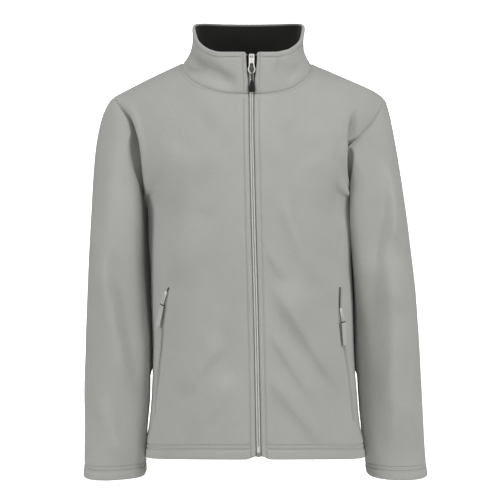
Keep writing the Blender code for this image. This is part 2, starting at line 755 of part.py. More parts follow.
def sleeve_grid(side, loop, share):
    """Rows from the armhole to the cuff; columns from the shoulder point round the front, underarm and back."""
    on_front = np.arange(len(loop)) <= UPPER_ROWS
    angle = np.where(on_front, 180 * (1 - share), 180 * (1 + share))
    end = sleeve_ring(side, np.full(len(angle), CAP_LEVEL), angle)
    reach = np.linalg.norm(end - loop, axis=1)[:, None]
    puff = (UNDERARM_PUFF + (CAP_PUFF[side] - UNDERARM_PUFF) * share**1.5)[:, None]
    leave = armhole_across(side, share) * puff
    arrive = unit(sleeve_ring(side, np.full(len(angle), CAP_LEVEL - 4), angle) - end) * reach
    rows = []
    for w in np.linspace(0, 1, SLEEVE_CAP_ROWS + 1):
        point = loop * (1 + 2 * w) * (1 - w) ** 2 + end * w**2 * (3 - 2 * w)
        rows.append(point + leave * w * (1 - w) ** 2 + arrive * w**2 * (w - 1))
    cuff = SLEEVES[side].at[0]
    levels = np.concatenate(
        [np.linspace(CAP_LEVEL, cuff + CUFF_HEIGHT + 2, 11)[1:], cuff + np.array([CUFF_HEIGHT - 2, 2.5, 0])]
    )
    rows += [sleeve_ring(side, np.full(len(angle), z), angle) for z in levels]
    grid = np.array(rows)
    normals = grid_normals(grid, grid - grid.mean(1, keepdims=True), closed=True)
    around = np.radians(angle) * ELBOW_RADIUS
    lift = fold_lift(around, grid[..., 2], sleeve_folds(), side, SLEEVE_FOLD_NAMES)
    lift[:2] = 0
    return grid + normals * lift[..., None]


def sleeve_folds():
    """The sleeve folds with their angles turned to distances round the sleeve."""
    turned = []
    for side, angle1, z1, angle2, z2, width, depth in SLEEVE_FOLDS:
        round1, round2 = (math.radians(angle) * ELBOW_RADIUS for angle in (angle1, angle2))
        turned.append((side, round1, z1, round2, z2, width, depth))
    return turned


def make_sleeve(body, side, finish):
    loop, share, seam = body.join_armhole(side)
    grid = sleeve_grid(side, loop, share)
    normals = grid_normals(grid, grid - grid.mean(1, keepdims=True), closed=True)
    normals[0] = seam
    moved = grid.copy()
    moved[0] += armhole_across(side, share) * SEAM_GAP / 2
    thick = np.full(grid.shape[:2], FLEECE)
    thick[-3:] = TURNED_UP
    wall(f"sleeve_{side_name(side)}", moved, moved - normals * thick[..., None], finish, closed=True)


def collar_grid(base, angle):
    """Rows from the neck seam to the top edge; columns from the left front round the back to the right front."""
    on_left = np.arange(len(base)) < len(base) / 2
    x = np.where(on_left, COLLAR_TOP("left_x", angle), COLLAR_TOP("right_x", angle))
    top = np.stack([x, COLLAR_TOP("y", angle), COLLAR_TOP("z", angle)], -1)
    height = np.linalg.norm(top - base, axis=1)[:, None]
    leave = neck_across(base[:, 0]) * height * (1 + 0.4 * np.abs(base[:, :1]) / 115)
    arrive = np.array([0, 0, 1.0]) * height * 0.8
    rows = []
    for w in np.linspace(0, 1, COLLAR_ROWS + 1):
        point = base * (1 + 2 * w) * (1 - w) ** 2 + top * w**2 * (3 - 2 * w)
        rows.append(point + leave * w * (1 - w) ** 2 + arrive * w**2 * (w - 1))
    return np.array(rows)


def make_collar(body, cloth, lining):
    base, seam, angle = body.join_neck()
    grid = collar_grid(base, angle)
    normals = grid_normals(grid, grid - grid.mean(axis=(0, 1)))
    moved = grid.copy()
    normals[0] = seam
    moved[0] += neck_across(base[:, 0]) * SEAM_GAP / 2
    wall("collar_outer", moved, moved - normals * FLEECE, cloth)
    rows = np.array([0.35, 1, 2, 3, 4, 4.96])
    low = np.minimum(rows.astype(int), COLLAR_ROWS - 1)
    part = (rows - low)[:, None, None]
    line = grid[low] * (1 - part) + grid[low + 1] * part
    inward = unit(normals[low] * (1 - part) + normals[low + 1] * part)
    behind = FLEECE + 2 * LAID_ON + TAPE
    wall("collar_lining", line - inward * behind, line - inward * (behind + LINING), lining)
    return grid, normals


# ---------------------------------------------------------------- zips


class ZipPath:
    """The centre line of the front opening from the hem to the top of the collar, and the cloth beside it."""

    def __init__(self, body, collar, collar_normals):
        edges, seconds, outs = [], [], []
        for side, column, step in ((RIGHT, -1, -2), (LEFT, 0, 1)):
            below = slice(0, body.pit)
            inner = collar - collar_normals * FLEECE
            edges.append(np.concatenate([body.front_inner[side][below, 0], inner[:, column]]))
            seconds.append(np.concatenate([body.front_inner[side][below, 1], inner[:, step]]))
            outs.append(np.concatenate([body.fronts[side][below, 0], collar[:, column]]))
        self.line = (outs[0] + outs[1]) / 2
        run = np.gradient(self.line, axis=0)
        self.out = unit(np.stack([0 * run[:, 0], -run[:, 2], run[:, 1]], -1))
        self.edge = dict(zip((RIGHT, LEFT), edges))
        self.second = dict(zip((RIGHT, LEFT), seconds))

    def at(self, z):
        return np.array([np.interp(z, self.line[:, 2], self.line[:, i]) for i in range(3)])

    def frame(self, z):
        """The place on the line at one height."""
        out = np.array([np.interp(z, self.line[:, 2], self.out[:, i]) for i in range(3)])
        return Frame(self.at(z), out, self.at(z - 4) - self.at(z + 4))

    def between(self, low, high):
        """Points and outward directions of the line from one height to another."""
        z = np.concatenate([[low], self.line[(self.line[:, 2] > low + 1) & (self.line[:, 2] < high - 1), 2], [high]])
        line = np.stack([np.interp(z, self.line[:, 2], self.line[:, i]) for i in range(3)], -1)
        out = unit(np.stack([np.interp(z, self.line[:, 2], self.out[:, i]) for i in range(3)], -1))
        return line, out


def make_tape(path, side, finish):
    """A zip tape behind the edge of a front and of the collar, from its inner points."""
    rows = slice(1, None)
    edge, second, line, out = path.edge[side][rows], path.second[side][rows], path.line[rows], path.out[rows]
    length = np.linalg.norm(second - edge, axis=1)[:, None]
    far = edge + (second - edge) / length * TAPE_UNDER
    near = line - out * FLEECE + np.array([side * SEAM_GAP / 2 + 0 * length[:, 0], 0 * length[:, 0], 0 * length[:, 0]]).T
    front = np.stack([near, edge, far], 1) - out[:, None] * LAID_ON
    front[:, 2] -= out * LAID_ON / 2
    wall(f"zip_tape_{side_name(side)}", front, front - out[:, None] * TAPE, finish)


def make_front_zip(path, coil, dark, metal, rubber):
    for side in (RIGHT, LEFT):
        make_tape(path, side, dark)
    slider = path.frame(SLIDER_Z)
    line, out = path.between(BOX_TOP + SEAM_GAP, slider(0, 0, 8.7)[2])
    hanging = Frame(slider.origin, slider.out, path.at(DROP_END_Z) - slider.origin)
    columns = np.array([-CHAIN_HALF, 0, CHAIN_HALF])
    front = line[:, None] + columns[:, None] * np.array([1.0, 0, 0]) - out[:, None] * CHAIN_DEPTH[0]
    wall("zip_chain", front, front - out[:, None] * (CHAIN_DEPTH[1] - CHAIN_DEPTH[0]), coil)

    foot = path.frame((BOX_BOTTOM + BOX_TOP) / 2)
    half = (BOX_TOP - BOX_BOTTOM) / 2
    rings = []
    for down, wide, deep in ((-half, 3.6, 0.2), (-half + 0.6, 4.2, 0.8), (half - 0.8, 4.2, 0.8), (half, 3.6, 0.2)):
        across = np.array([-wide, -wide + 0.8, wide - 0.8, wide, wide, -wide])
        rings.append(foot(across, np.array([deep - 0.8, deep, deep, deep - 0.8, -2.3, -2.3]), down))
    loft("zip_box", rings, metal)

    rings = []
    for down, wide, lug in SLIDER_STATIONS:
        side = [(LUG_HALF, 1.7 + lug), (LUG_HALF, 1.7), (wide - 0.7, 1.7), (wide, 1.0)]
        side += [(wide, -2.3), (CHAIN_HALF + 0.3, -2.3), (CHAIN_HALF + 0.3, 0.0)]
        outline = np.array(side + [(-a, o) for a, o in side[::-1]])
        rings.append(slider(outline[:, 0], outline[:, 1], down))
    loft("zip_slider", rings, metal)

    ring = np.array(RING_PATH)
    ring = np.concatenate([ring, (ring * [-1, 1])[-2::-1]])
    pivot = hanging(0, PULL_OUT, RING_PATH[0][1])
    points = hanging(ring[:, 0], PULL_OUT, ring[:, 1])
    loft("zip_pull", tube(points, RING_WIRE, hanging.out), metal, pivot)
    cord = np.array(CORD_PATH)
    points = hanging(cord[:, 0], cord[:, 1], cord[:, 2])
    loft("zip_cord", tube(points, CORD_RADIUS, hanging.across + 0.3 * hanging.out), rubber, pivot)
    turn = np.arange(12) / 12 * 2 * math.pi
    rings = [
        hanging(0.6 + wide * np.cos(turn), 3.1 + deep * np.sin(turn), down) for down, wide, deep in DROP_STATIONS
    ]
    loft("zip_drop", rings, rubber, pivot)


def panel_at(grid, x, z):
    """The point and outward direction of a front's facets over (x, z)."""
    a, b, c, d = (grid[i].reshape(-1, 3) for i in (np.s_[:-1, :-1], np.s_[:-1, 1:], np.s_[1:, 1:], np.s_[1:, :-1]))
    corners = np.concatenate([np.stack([a, b, c], 1), np.stack([a, c, d], 1)])
    p, q, r = corners[:, 0], corners[:, 1] - corners[:, 0], corners[:, 2] - corners[:, 0]
    area = q[:, 0] * r[:, 2] - q[:, 2] * r[:, 0]
    u = ((x - p[:, 0]) * r[:, 2] - (z - p[:, 2]) * r[:, 0]) / area
    v = (q[:, 0] * (z - p[:, 2]) - q[:, 2] * (x - p[:, 0])) / area
    i = np.argmax(np.minimum(np.minimum(u, v), 1 - u - v))
    out = unit(np.cross(q[i], r[i]))
    return p[i] + u[i] * q[i] + v[i] * r[i], out * -np.sign(out[1])


def make_pocket_zip(body, side, coil, metal, cloth):
    """A zip laid on a front, with its slider and the cloth tab that pulls it."""
    grid = body.fronts[side]
    name = side_name(side)
    table = POCKET[side]
    z = np.linspace(table.at[0], table.at[-1], POCKET_ROWS + 1)
    x = table("x", z)
    lean = np.gradient(x, z)
    rows, outs = [], []
    for place_x, place_z, slope in zip(x, z, lean):
        facing = -panel_at(grid, place_x, place_z)[1][1]
        across = np.array([1.0, -slope]) / math.hypot(1, slope) * facing
        row = [panel_at(grid, place_x + off * across[0], place_z + off * across[1]) for off in (-4.5, 0, 4.5)]
        rows.append([point for point, _ in row])
        outs.append([out for _, out in row])
    rows, outs = np.array(rows), np.array(outs).mean(1, keepdims=True)
    outer = rows + outs * (POCKET_OFF + POCKET_THICK)
    wall(f"pocket_zip_{name}", outer, rows + outs * POCKET_OFF, coil)

    level = POCKET_SLIDER_Z[side]
    here, out = panel_at(grid, float(table("x", level)), level)
    above, below = (panel_at(grid, float(table("x", at)), at)[0] for at in (level + 9, level - 9))
    slider = Frame(here + out * (POCKET_OFF + POCKET_THICK + LAID_ON), out, below - above)
    rings = []
    for down, wide, lug in POCKET_SLIDER_STATIONS:
        half = [(0.9, 1.1 + lug), (0.9, 1.1), (wide, 1.1), (wide, 0.0)]
        outline = np.array(half + [(-a, o) for a, o in half[::-1]])
        rings.append(slider(outline[:, 0], outline[:, 1], down))
    loft(f"pocket_slider_{name}", rings, metal)

    pivot = slider(0, 2.2, -2.0)
    swing = math.radians(POCKET_PULL_LEAN[side])
    loop = np.array(POCKET_LOOP)
    loop = np.concatenate([loop, (loop * [-1, 1, 1])[-2::-1]])
    run = loop[:, 2] + 2.0
    points = slider(loop[:, 0] + run * math.sin(swing), loop[:, 1], run * math.cos(swing) - 2.0)
    loft(f"pocket_loop_{name}", tube(points, 0.55, slider.out), metal, pivot)
    rings = []
    for down, wide, deep in POCKET_TAB_STATIONS:
        run = down + 2.0
        across = np.array([-wide, -wide + 0.5, wide - 0.5, wide, wide, wide - 0.5, -wide + 0.5, -wide])
        depth = np.array([0.4, 1, 1, 0.4, -0.4, -1, -1, -0.4]) * deep
        turned = across * math.cos(swing) + run * math.sin(swing)
        rings.append(slider(turned, 3.4 + depth, run * math.cos(swing) - 2.0 - across * math.sin(swing)))
    loft(f"pocket_tab_{name}", rings, cloth, pivot)


def main():
    for leftover in list(bpy.data.objects):
        bpy.data.objects.remove(leftover)
    fleece = material("light grey fleece", (0.37, 0.37, 0.355), 0.95)
    black_fleece = material("black fleece lining", (0.012, 0.012, 0.011), 0.95)
    coil = material("light grey nylon coil", (0.42, 0.42, 0.41), 0.55)
    tape = material("black woven zip tape", (0.02, 0.02, 0.02), 0.85)
    metal = material("nickel-plated zinc", (0.75, 0.75, 0.75), 0.25, 1.0)
    rubber = material("moulded black rubber", (0.015, 0.015, 0.015), 0.6)
    body = Body()
    make_back(body, fleece)
    for side in (RIGHT, LEFT):
        make_front(body, side, fleece)
        make_sleeve(body, side, fleece)
    collar, collar_normals = make_collar(body, fleece, black_fleece)
    make_front_zip(ZipPath(body, collar, collar_normals), coil, tape, metal, rubber)
    for side in (RIGHT, LEFT):
        make_pocket_zip(body, side, coil, metal, fleece)


main()
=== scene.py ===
"""Fleece zip jacket: its cloth, seams, zips and pulls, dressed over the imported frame.

Sizes inside the functions are in millimetres and turn to metres when a mesh is made. X runs to the wearer's left,
Y to the back and Z up, from an origin midway between the shoulders. A cloth piece is a shell: a grid of outer
points, the same grid moved in by the cloth's thickness, and rounded or sewn edges between them.
"""

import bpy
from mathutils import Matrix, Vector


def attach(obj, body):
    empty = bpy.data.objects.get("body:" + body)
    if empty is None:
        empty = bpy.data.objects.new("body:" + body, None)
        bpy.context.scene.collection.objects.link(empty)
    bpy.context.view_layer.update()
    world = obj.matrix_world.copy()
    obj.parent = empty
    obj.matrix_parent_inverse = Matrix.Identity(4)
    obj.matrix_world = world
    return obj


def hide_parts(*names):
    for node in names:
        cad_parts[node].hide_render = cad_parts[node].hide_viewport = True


bl_info = {
    "name": "Fleece Zip Jacket",
    "version": (1, 0, 0),
    "blender": (4, 5, 0),
    "location": "View3D > Sidebar > Jacket",
    "description": "Builds the cloth, stitching, zips and pulls of a fleece zip jacket over its packed frame",
    "category": "Add Mesh",
}

import functools
import math
from collections import namedtuple

import bpy
import numpy as np

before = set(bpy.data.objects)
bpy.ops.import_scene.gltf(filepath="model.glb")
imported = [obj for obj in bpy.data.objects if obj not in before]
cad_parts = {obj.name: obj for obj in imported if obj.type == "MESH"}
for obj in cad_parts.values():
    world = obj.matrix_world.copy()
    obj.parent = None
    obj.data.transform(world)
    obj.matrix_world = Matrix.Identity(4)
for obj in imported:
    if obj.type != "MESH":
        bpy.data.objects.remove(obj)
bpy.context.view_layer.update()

MM = 0.001
RIGHT, LEFT = -1, 1  # the wearer's sides, and the sign of X there

# ---------------------------------------------------------------- sizes of the cut and the form, in millimetres

SIDE_POWER = 2.4
CHEST_POWER = 1.95
RIDGE_POWER = 1.8
FRONT_RIDGE_HEIGHT = 150.0
BACK_RIDGE_HEIGHT = 135.0
STIFF_AT_ZIP = 15.0
EDGE_STRIP = 13.0  # the strip beside the zip whose points are close together
HEM_FRONT_Z, HEM_BACK_Z, HEM_SIDE_Z = -650.0, -654.0, -657.0
HEM_RUN = 443.0  # from the hem up to the underarm
UNDERARM_LEVEL = -207.0
NECK_PIT_Z = -33.0
BACK_NECK_Z = 34.0
NECK_BACK_X = -5.0
NECK_END_X = {RIGHT: -117.0, LEFT: 106.0}
BACK_AT = (7, 11, 15, 22)  # the scale of the back's columns: start, middle and end of the neck, and the last one
SHOULDER_POINT_BEND = 45.0
TURNED_UP = 2.0  # what a turned-up hem or cuff adds to the cloth's thickness
STITCHED_BELOW = 0.8  # from the top of a turned-up edge down to the upper line of stitches
CORNER = 6.0  # radius of the collar's corners at the zip
COLLAR_RUN = 72.0
COLLAR_BEHIND = 3.9  # from the outside of the collar to the front of its lining
LINING = 1.7
COLLAR_ROLL = 1.7  # how far the outer cloth rolls over the top of the lining
ZIP_LINE = 9.0  # from the cloth's edge at the zip to the line of stitches beside it
NECK_LINE = 6.5  # from the neck seam to the line of stitches below it
TOP_LINE = 10.0  # from the collar's top edge to the line of stitches below it
FAR = 99.0  # from an edge that is sewn, and so isn't rounded

# How deep and how wide a groove each seam draws into the cloth
SIDE_SEAM, SHOULDER_SEAM, NECK_SEAM, SLEEVE_SEAM = (1.2, 2.0), (1.1, 2.2), (1.3, 2.0), (0.9, 1.8)
BACK_ARMHOLE_SEAM, ARMHOLE_SEAM = (1.7, 1.5), {RIGHT: (1.7, 1.5), LEFT: (0.8, 1.5)}
ARMHOLE_HOLLOW_WIDTH = 2.6  # of the hollow in the fronts beside the armhole seams

SLEEVE_POWER = 2.2
CAP_LEVEL = -262.0
CAP_RUN = 235.0
CAP_PUFF = {RIGHT: 150.0, LEFT: 44.0}
UNDERARM_PUFF = 9.0
UNDERARM_FULLNESS = {RIGHT: (4.5, 24, 13), LEFT: (6.5, 40, 18)}  # of the fronts: height, place and width
TUCK_ANGLE, TUCK_WIDTH = 214, 27  # where round a sleeve it reaches behind the body, in degrees
LEAN_ANGLE, LEAN_WIDTH = 138, 22  # and where it leans against it
CUFF_Z = -687.0
CUFF_TILT_FROM = -560.0
CUFF_FRONT_DROP = 8.0
CUFF_INNER_RISE = {RIGHT: 3.0, LEFT: 1.0}
ELBOW_RADIUS = 55.0
UPPER_COUNT = 74  # rows from the underarm to the shoulder point
SLEEVE_COLUMNS = 76  # round half of a sleeve
ROUND_EDGE = (0, 0.12, 0.4, 0.9, 1.6, 2.4, 3.6, 5.2)  # places close enough to round a free edge
SEWN_EDGE = (0, 0.9, 1.9, 3.1, 4.6, 6.4)  # and to draw cloth into a seam


def smooth(at, known, values):
    """Values between known places, on a cubic that never swings past its neighbours."""
    known, values = np.asarray(known, float), np.asarray(values, float)
    step = np.diff(known)
    slope = np.diff(values) / step
    both = slope[:-1] + slope[1:]
    turning = slope[:-1] * slope[1:] <= 0
    tangent = np.zeros(len(known))
    tangent[1:-1] = np.where(turning, 0, 2 * slope[:-1] * slope[1:] / np.where(turning, 1, both))
    tangent[0], tangent[-1] = slope[0], slope[-1]
    at = np.clip(at, known[0], known[-1])
    i = np.clip(np.searchsorted(known, at) - 1, 0, len(step) - 1)
    t = (at - known[i]) / step[i]
    rise = values[i] * (1 + 2 * t) * (1 - t) ** 2 + values[i + 1] * t**2 * (3 - 2 * t)
    return rise + step[i] * (tangent[i] * t * (1 - t) ** 2 + tangent[i + 1] * t**2 * (t - 1))


class Table:
    """Sizes in named columns, read smoothly between rows by the first column."""

    def __init__(self, names, rows):
        self.columns = dict(zip(names.split(), np.array(rows, float).T))
        self.at = self.columns[names.split()[0]]

    def __call__(self, name, at):
        return smooth(at, self.at, self.columns[name])

    def stations(self, count):
        """Even places from the first row to the last, then every other column there, each upright."""
        at = np.linspace(self.at[0], self.at[-1], count)[:, None]
        return at, *(self(name, at) for name in list(self.columns)[1:])


# The torso by height: where its section closes at each side, its deepest points, and the side seam
TORSO = Table("z right left front back side", [
    (-660, -183.5, 201.5, -124, 108, -4),
    (-628, -181.0, 198.0, -125, 106, -4),
    (-600, -176.0, 191.5, -127, 104, -4),
    (-540, -171.0, 186.0, -128, 98, -4),
    (-470, -169.5, 181.0, -128, 92, -4),
    (-385, -172.0, 179.5, -131, 94, -4),
    (-300, -173.5, 176.0, -134, 104, -4),
    (-240, -173.0, 173.5, -136, 114, -4),
    (-220, -176.0, 176.0, -136, 117, -4),
    (-203, -183.0, 181.0, -136, 118, -4),
    (-166, -201.0, 192.0, -133, 120, -3),
    (-130, -217.0, 207.0, -128, 121, -2),
    (-90, -236.0, 227.0, -121, 120, 0),
    (-52, -262.0, 257.0, -113, 117, 0),
    (-30, -276.0, 274.0, -108, 114, 0),
    (60, -290.0, 290.0, -104, 108, 0),
])

# The shoulder ridge, seen from the front
RIDGE = Table("x z", [
    (-247, -38), (-240, -31), (-215, -17.5), (-175, 3), (-117, 30), (-60, 54), (-5, 62), (50, 54),
    (106, 29), (175, -0.5), (213, -17.5), (228, -27), (235, -33), (240, -41),
])

# Armholes, seen from the front: u runs from the underarm (0) to the shoulder point (1)
ARMHOLE = Table("u right_x right_z left_x left_z", [
    (0.00, -183, -203, 181, -205), (0.14, -185, -178, 172, -181), (0.30, -188, -150, 169, -152),
    (0.45, -192, -122, 171, -122), (0.60, -199, -95, 190, -100), (0.75, -208, -71, 209, -79),
    (0.88, -223, -50, 224, -57), (1.00, -240, -31, 235, -33),
])

# The front opening by height: its centre line and half the gap between the two fronts
OPENING = Table("z centre half_gap", [
    (-660, 15.0, 5.2), (-430, 10.5, 4.8), (-220, 5.2, 4.8), (-70, 2.5, 4.8), (-33, 2.4, 5.0),
])

# The top edge of the collar, by the angle round the neck from the front opening (0) to the centre back (180)
COLLAR_TOP = Table("angle right_x left_x y z", [
    (0, -6.5, 12, -92, 39), (28, -51, 43, -86, 39.8), (45, -70, 64, -76, 45), (60, -85, 81, -58, 55.5),
    (72, -95, 91, -38, 69), (90, -101, 96, -6, 93), (115, -96, 92, 26, 102), (140, -72, 68, 46, 105),
    (162, -36, 31, 55, 105), (180, -3, -3, 57, 105),
])

# Sleeves below the underarm, by height: outer and inner edge, middle and half of the depth
SLEEVES = {
    RIGHT: Table("z outer inner middle half_depth", [
        (-687, -289.5, -181.0, -20, 27), (-660, -288.0, -181.0, -19, 29), (-600, -287.8, -177.3, -16, 34),
        (-540, -288.8, -173.2, -12, 41), (-470, -287.5, -173.6, -6, 49), (-385, -284.5, -180.0, -2, 59),
        (-315, -281.5, -184.8, -2, 68), (-262, -278.8, -185.5, -2, 72),
    ]),
    LEFT: Table("z outer inner middle half_depth", [
        (-687, 308.5, 204.0, -20, 27), (-660, 305.5, 200.8, -19, 29), (-600, 301.5, 192.2, -16, 34),
        (-540, 298.0, 187.5, -12, 41), (-470, 294.5, 185.0, -6, 49), (-385, 288.5, 183.6, -2, 59),
        (-315, 282.5, 180.8, -2, 68), (-262, 276.5, 179.0, -2, 72),
    ]),
}

# How square the front of each sleeve's inner side is, by height
INNER_POWER = Table("z right left", [
    (-687, 3.4, 2.1), (-540, 3.8, 2.1), (-430, 6, 3.2), (-340, 6, 6),
])

# How far the back of each sleeve's inner side reaches behind the body, by height
TUCK = Table("z right left", [
    (-650, 4, 5), (-630, 0, 0), (-520, 0, 0), (-496, 11, 13), (-470, 12, 13), (-385, 18, 14),
    (-315, 22, 16), (-262, 22, 16),
])

# How far the front of each sleeve's inner side leans against the body, by height
LEAN = Table("z right left", [
    (-560, 0, 0), (-470, 0, 1), (-385, 0, 3), (-315, 0, 6), (-262, 0, 9),
])

# Seams of the armholes, from the underarm (0) to the shoulder point (1): how deep they lie, the roll of the
# body beside them, and how far down the sleeve the hollow reaches
ARM_SEAM = Table("up right_sink right_roll right_reach left_sink left_roll left_reach", [
    (0.0, 0.0, 0.0, 14.0, 0.0, 0.0, 6.0),
    (0.15, 8.0, 3.0, 12.0, 7.0, 2.5, 7.0),
    (0.3, 14.0, 4.5, 14.0, 9.0, 3.0, 8.0),
    (0.45, 17.0, 4.5, 15.0, 7.0, 2.5, 7.0),
    (0.53, 16.0, 4.5, 10.0, 3.0, 1.0, 4.0),
    (0.6, 12.0, 4.0, 2.8, 0.6, 0.4, 2.5),
    (0.75, 7.0, 2.5, 1.4, 0.4, 0.3, 2.5),
    (0.87, 2.5, 1.0, 1.5, 0.3, 0.2, 2.5),
    (0.94, 0.0, 0.0, 2.5, 0.1, 0.0, 2.5),
    (1.0, 0.0, 0.0, 2.5, 0.0, 0.0, 2.5),
])

# The crease that runs up the left front from its armhole, by height: its place and depth
CREASE = Table("z x depth", [
    (-176, 168, 0), (-156, 168, 8), (-130, 168.5, 16), (-100, 170, 17), (-84, 172, 13), (-70, 175, 6),
    (-58, 180, 0),
])

# Soft folds: each a ridge (positive depth) or trough from one end to the other, bowed sideways in the middle, with
# its own width on each side. Those of the body and collar are seen from the front or back
Fold = namedtuple("Fold", "x1 z1 x2 z2 bow wide_a wide_b depth")
FOLDS = {
    "front": [
        (48, -190, 116, -366, 0, 14, 17, 8.5), (14, -278, 64, -352, 0, 8, 8, 3.7),
        (34, -345, 162, -545, 0, 34, 13, 11.9), (30, -428, 112, -556, 0, 9, 8, 5.4),
        (26, -502, 132, -632, 0, 13, 12, 6.8), (60, -70, 120, -150, 8, 24, 24, -5.1),
        (167, -52, 166, -240, -3, 5, 45, 8.0), (150, -262, 151, -362, 0, 6, 6, -4.2),
        (-92, -180, -138, -365, 4, 30, 14, 7.6), (-26, -500, -116, -612, -3, 22, 13, 7.6),
        (-36, -440, -124, -550, 3, 13, 30, 6.8), (-60, -60, -140, -130, -8, 26, 24, -4.8),
        (-40, -120, -70, -250, 6, 26, 30, 4.6), (-140, -430, -150, -560, 4, 12, 14, -5.1),
    ],
    "back": [
        (-120, -190, -60, -420, -12, 24, 30, -8), (125, -200, 55, -440, 12, 28, 24, -8),
        (-20, -330, 30, -600, 10, 26, 20, 6.1), (-150, -420, -70, -610, -8, 18, 22, 5.7),
        (140, -400, 96, -610, 8, 16, 20, 5.3), (-90, -300, -120, -470, 6, 16, 22, 3.8),
        (80, -470, 20, -630, -6, 18, 16, -4.9), (-100, -500, -140, -640, 6, 16, 14, -4.6),
        (-70, -60, -150, -150, -8, 22, 26, -3.8), (70, -60, 150, -150, 8, 26, 22, -4.2),
        (-30, -30, 34, -34, -10, 16, 20, -3), (-150, -120, -160, -210, 6, 14, 14, 4.2),
        (150, -130, 150, -215, -6, 14, 14, 3.8),
    ],
}
COLLAR_FOLDS = {
    "front": [
        (-120, 34, -18, -20, 0, 10, 12, -14.0), (-120, 46, -84, 24, 0, 10, 10, -4.0),
        (-108, 14, -30, -16, -6, 7, 8, 5.5), (40, 22, 84, -2, 6, 12, 14, -3.4),
        (60, 44, 88, 20, 5, 10, 10, 3),
    ],
    "back": [
        (-84, 60, -60, 20, 4, 12, 12, -3), (70, 70, 30, 34, -5, 14, 12, -3),
        (-30, 84, -10, 40, 3, 12, 14, 2.3),
    ],
}
# Those of the sleeves have the angle round the sleeve (0 outside, 90 front, 180 inside, 270 back) in place of x
SLEEVE_FOLDS = {
    RIGHT: [
        (67, -285, 117, -560, 0, 12, 30, 9.6), (80, -290, 124, -560, 0, 12, 10, -6.4),
        (66, -545, 109, -668, 0, 12, 24, 7.2), (30, -120, 60, -290, 5, 20, 22, -3.4),
        (20, -430, 44, -600, 5, 12, 14, -3.0), (250, -300, 300, -480, 8, 16, 16, -7.6),
        (280, -380, 240, -520, 6, 14, 16, 4.9), (300, -520, 250, -640, -6, 14, 16, -5.7),
        (320, -160, 280, -300, 6, 20, 20, -3.8),
    ],
    LEFT: [
        (44, -130, 79, -310, -2, 9, 18, 9.0), (80, -270, 92, -668, 3, 19, 44, 20.0),
        (68, -180, 115, -340, 0, 14, 8, -6.4), (60, -480, 113, -600, 5, 14, 14, -3.0),
        (40, -540, 60, -660, -4, 12, 12, 3.4), (250, -320, 310, -500, 8, 16, 16, -7.6),
        (285, -400, 240, -540, 6, 14, 16, 4.9), (300, -540, 250, -650, -6, 14, 16, -5.7),
        (320, -170, 275, -310, 6, 20, 20, -3.8),
    ],
}

# The front zip: its tapes and their facing at the neck, the coil and the box
TAPE = 0.8
TAPE_GAP = 0.35
TAPE_FOOT = -647.0
BEHIND_CLOTH = 2.4  # from the outside of the cloth to its back
FACING = 0.25
FACING_FOOT = -40.0
COIL_ENDS = (-641.2, 18.0)
COIL_ACROSS = (1.75, 1.05)  # from the zip's line to the middle of the winding, and half its width
COIL_OUT = (1.35, 0.9)  # from the outside in to the middle of the winding, and half its depth
COIL_WIRE = 0.4
BOX_HALF_WIDTH = 3.7
BOX_HALF_HEIGHT = 3.8
BOX_DEPTH = 1.5
BOX_UP = 4.4

# The sliders and pulls, in the frames below: across, out of the cloth and down
SLIDER_STATIONS = Table("down wide", [
    (-8.2, 3.6), (-7.6, 4.2), (-6.4, 4.6), (-3.2, 4.7), (0.5, 4.5), (5.0, 4.1), (7.6, 3.9), (8.2, 3.4),
])
PULL_OUT = 3.2
RING_WIRE = 0.9
RING_PATH = [
    (0.0, -5.0), (2.4, -5.0), (3.5, -4.4), (3.9, -3.0), (3.8, 2.0), (3.7, 8.0), (3.9, 12.5), (4.9, 16.0),
    (5.5, 18.6), (5.2, 21.2), (4.0, 23.6), (2.0, 24.9), (0.0, 25.2),
]
CORD_RADIUS = 0.75
CORD_PATH = [
    (1.5, 3.6, 37.6), (1.2, 4.6, 31.0), (1.1, 5.2, 25.2), (1.5, 4.7, 20.5), (1.9, 3.9, 17.0),
    (1.4, 3.4, 12.6), (0.8, 3.2, 11.0), (0.0, 3.1, 10.4), (-0.8, 2.9, 11.0), (-1.4, 2.6, 12.6),
    (-1.9, 1.8, 17.0), (-1.5, 1.0, 20.5), (-1.1, 0.85, 25.2), (-0.8, 1.3, 31.0), (-0.4, 2.2, 37.6),
]
DROP_STATIONS = Table("down wide deep", [
    (37.2, 1.5, 1.2), (37.6, 2.1, 1.7), (39.0, 2.6, 1.9), (42.0, 3.3, 2.1), (47.0, 4.7, 2.3),
    (52.0, 5.6, 2.3), (55.2, 5.6, 2.1), (56.8, 4.8, 1.6), (57.4, 3.4, 0.9),
])
DROP_GROOVES = (43.5, 46.0, 48.5)

# The pockets: the line down the front, and the slider and pull on it
POCKET = {
    RIGHT: Table("z x", [
        (-582, -165), (-543, -161.4), (-515, -158), (-460, -152), (-382, -144.6), (-358, -138),
    ]),
    LEFT: Table("z x", [
        (-593, 179), (-567, 175.4), (-540, 172.6), (-508, 168.6), (-470, 162.4), (-440, 158), (-400, 153),
        (-358, 154),
    ]),
}
POCKET_SLIT = 1.7  # from that line out to the slit
POCKET_LIP = 4.9  # from that line to the lips' outer edges
POCKET_SLIDER_Z = {RIGHT: -375.0, LEFT: -404.0}
POCKET_GAPE = {RIGHT: 0.5, LEFT: 1.0}  # how much wider the pocket stands open above its slider
POCKET_PULL_LEAN = {RIGHT: 6.0, LEFT: 1.0}
PIN_UP = 2.0
POCKET_SLIDER = Table("down wide", [
    (-8.0, 2.2), (-7.4, 2.8), (-5.0, 3.2), (-0.5, 3.1), (4.0, 2.6), (7.6, 2.4), (8.0, 2.0),
])
POCKET_WIRE = 0.55
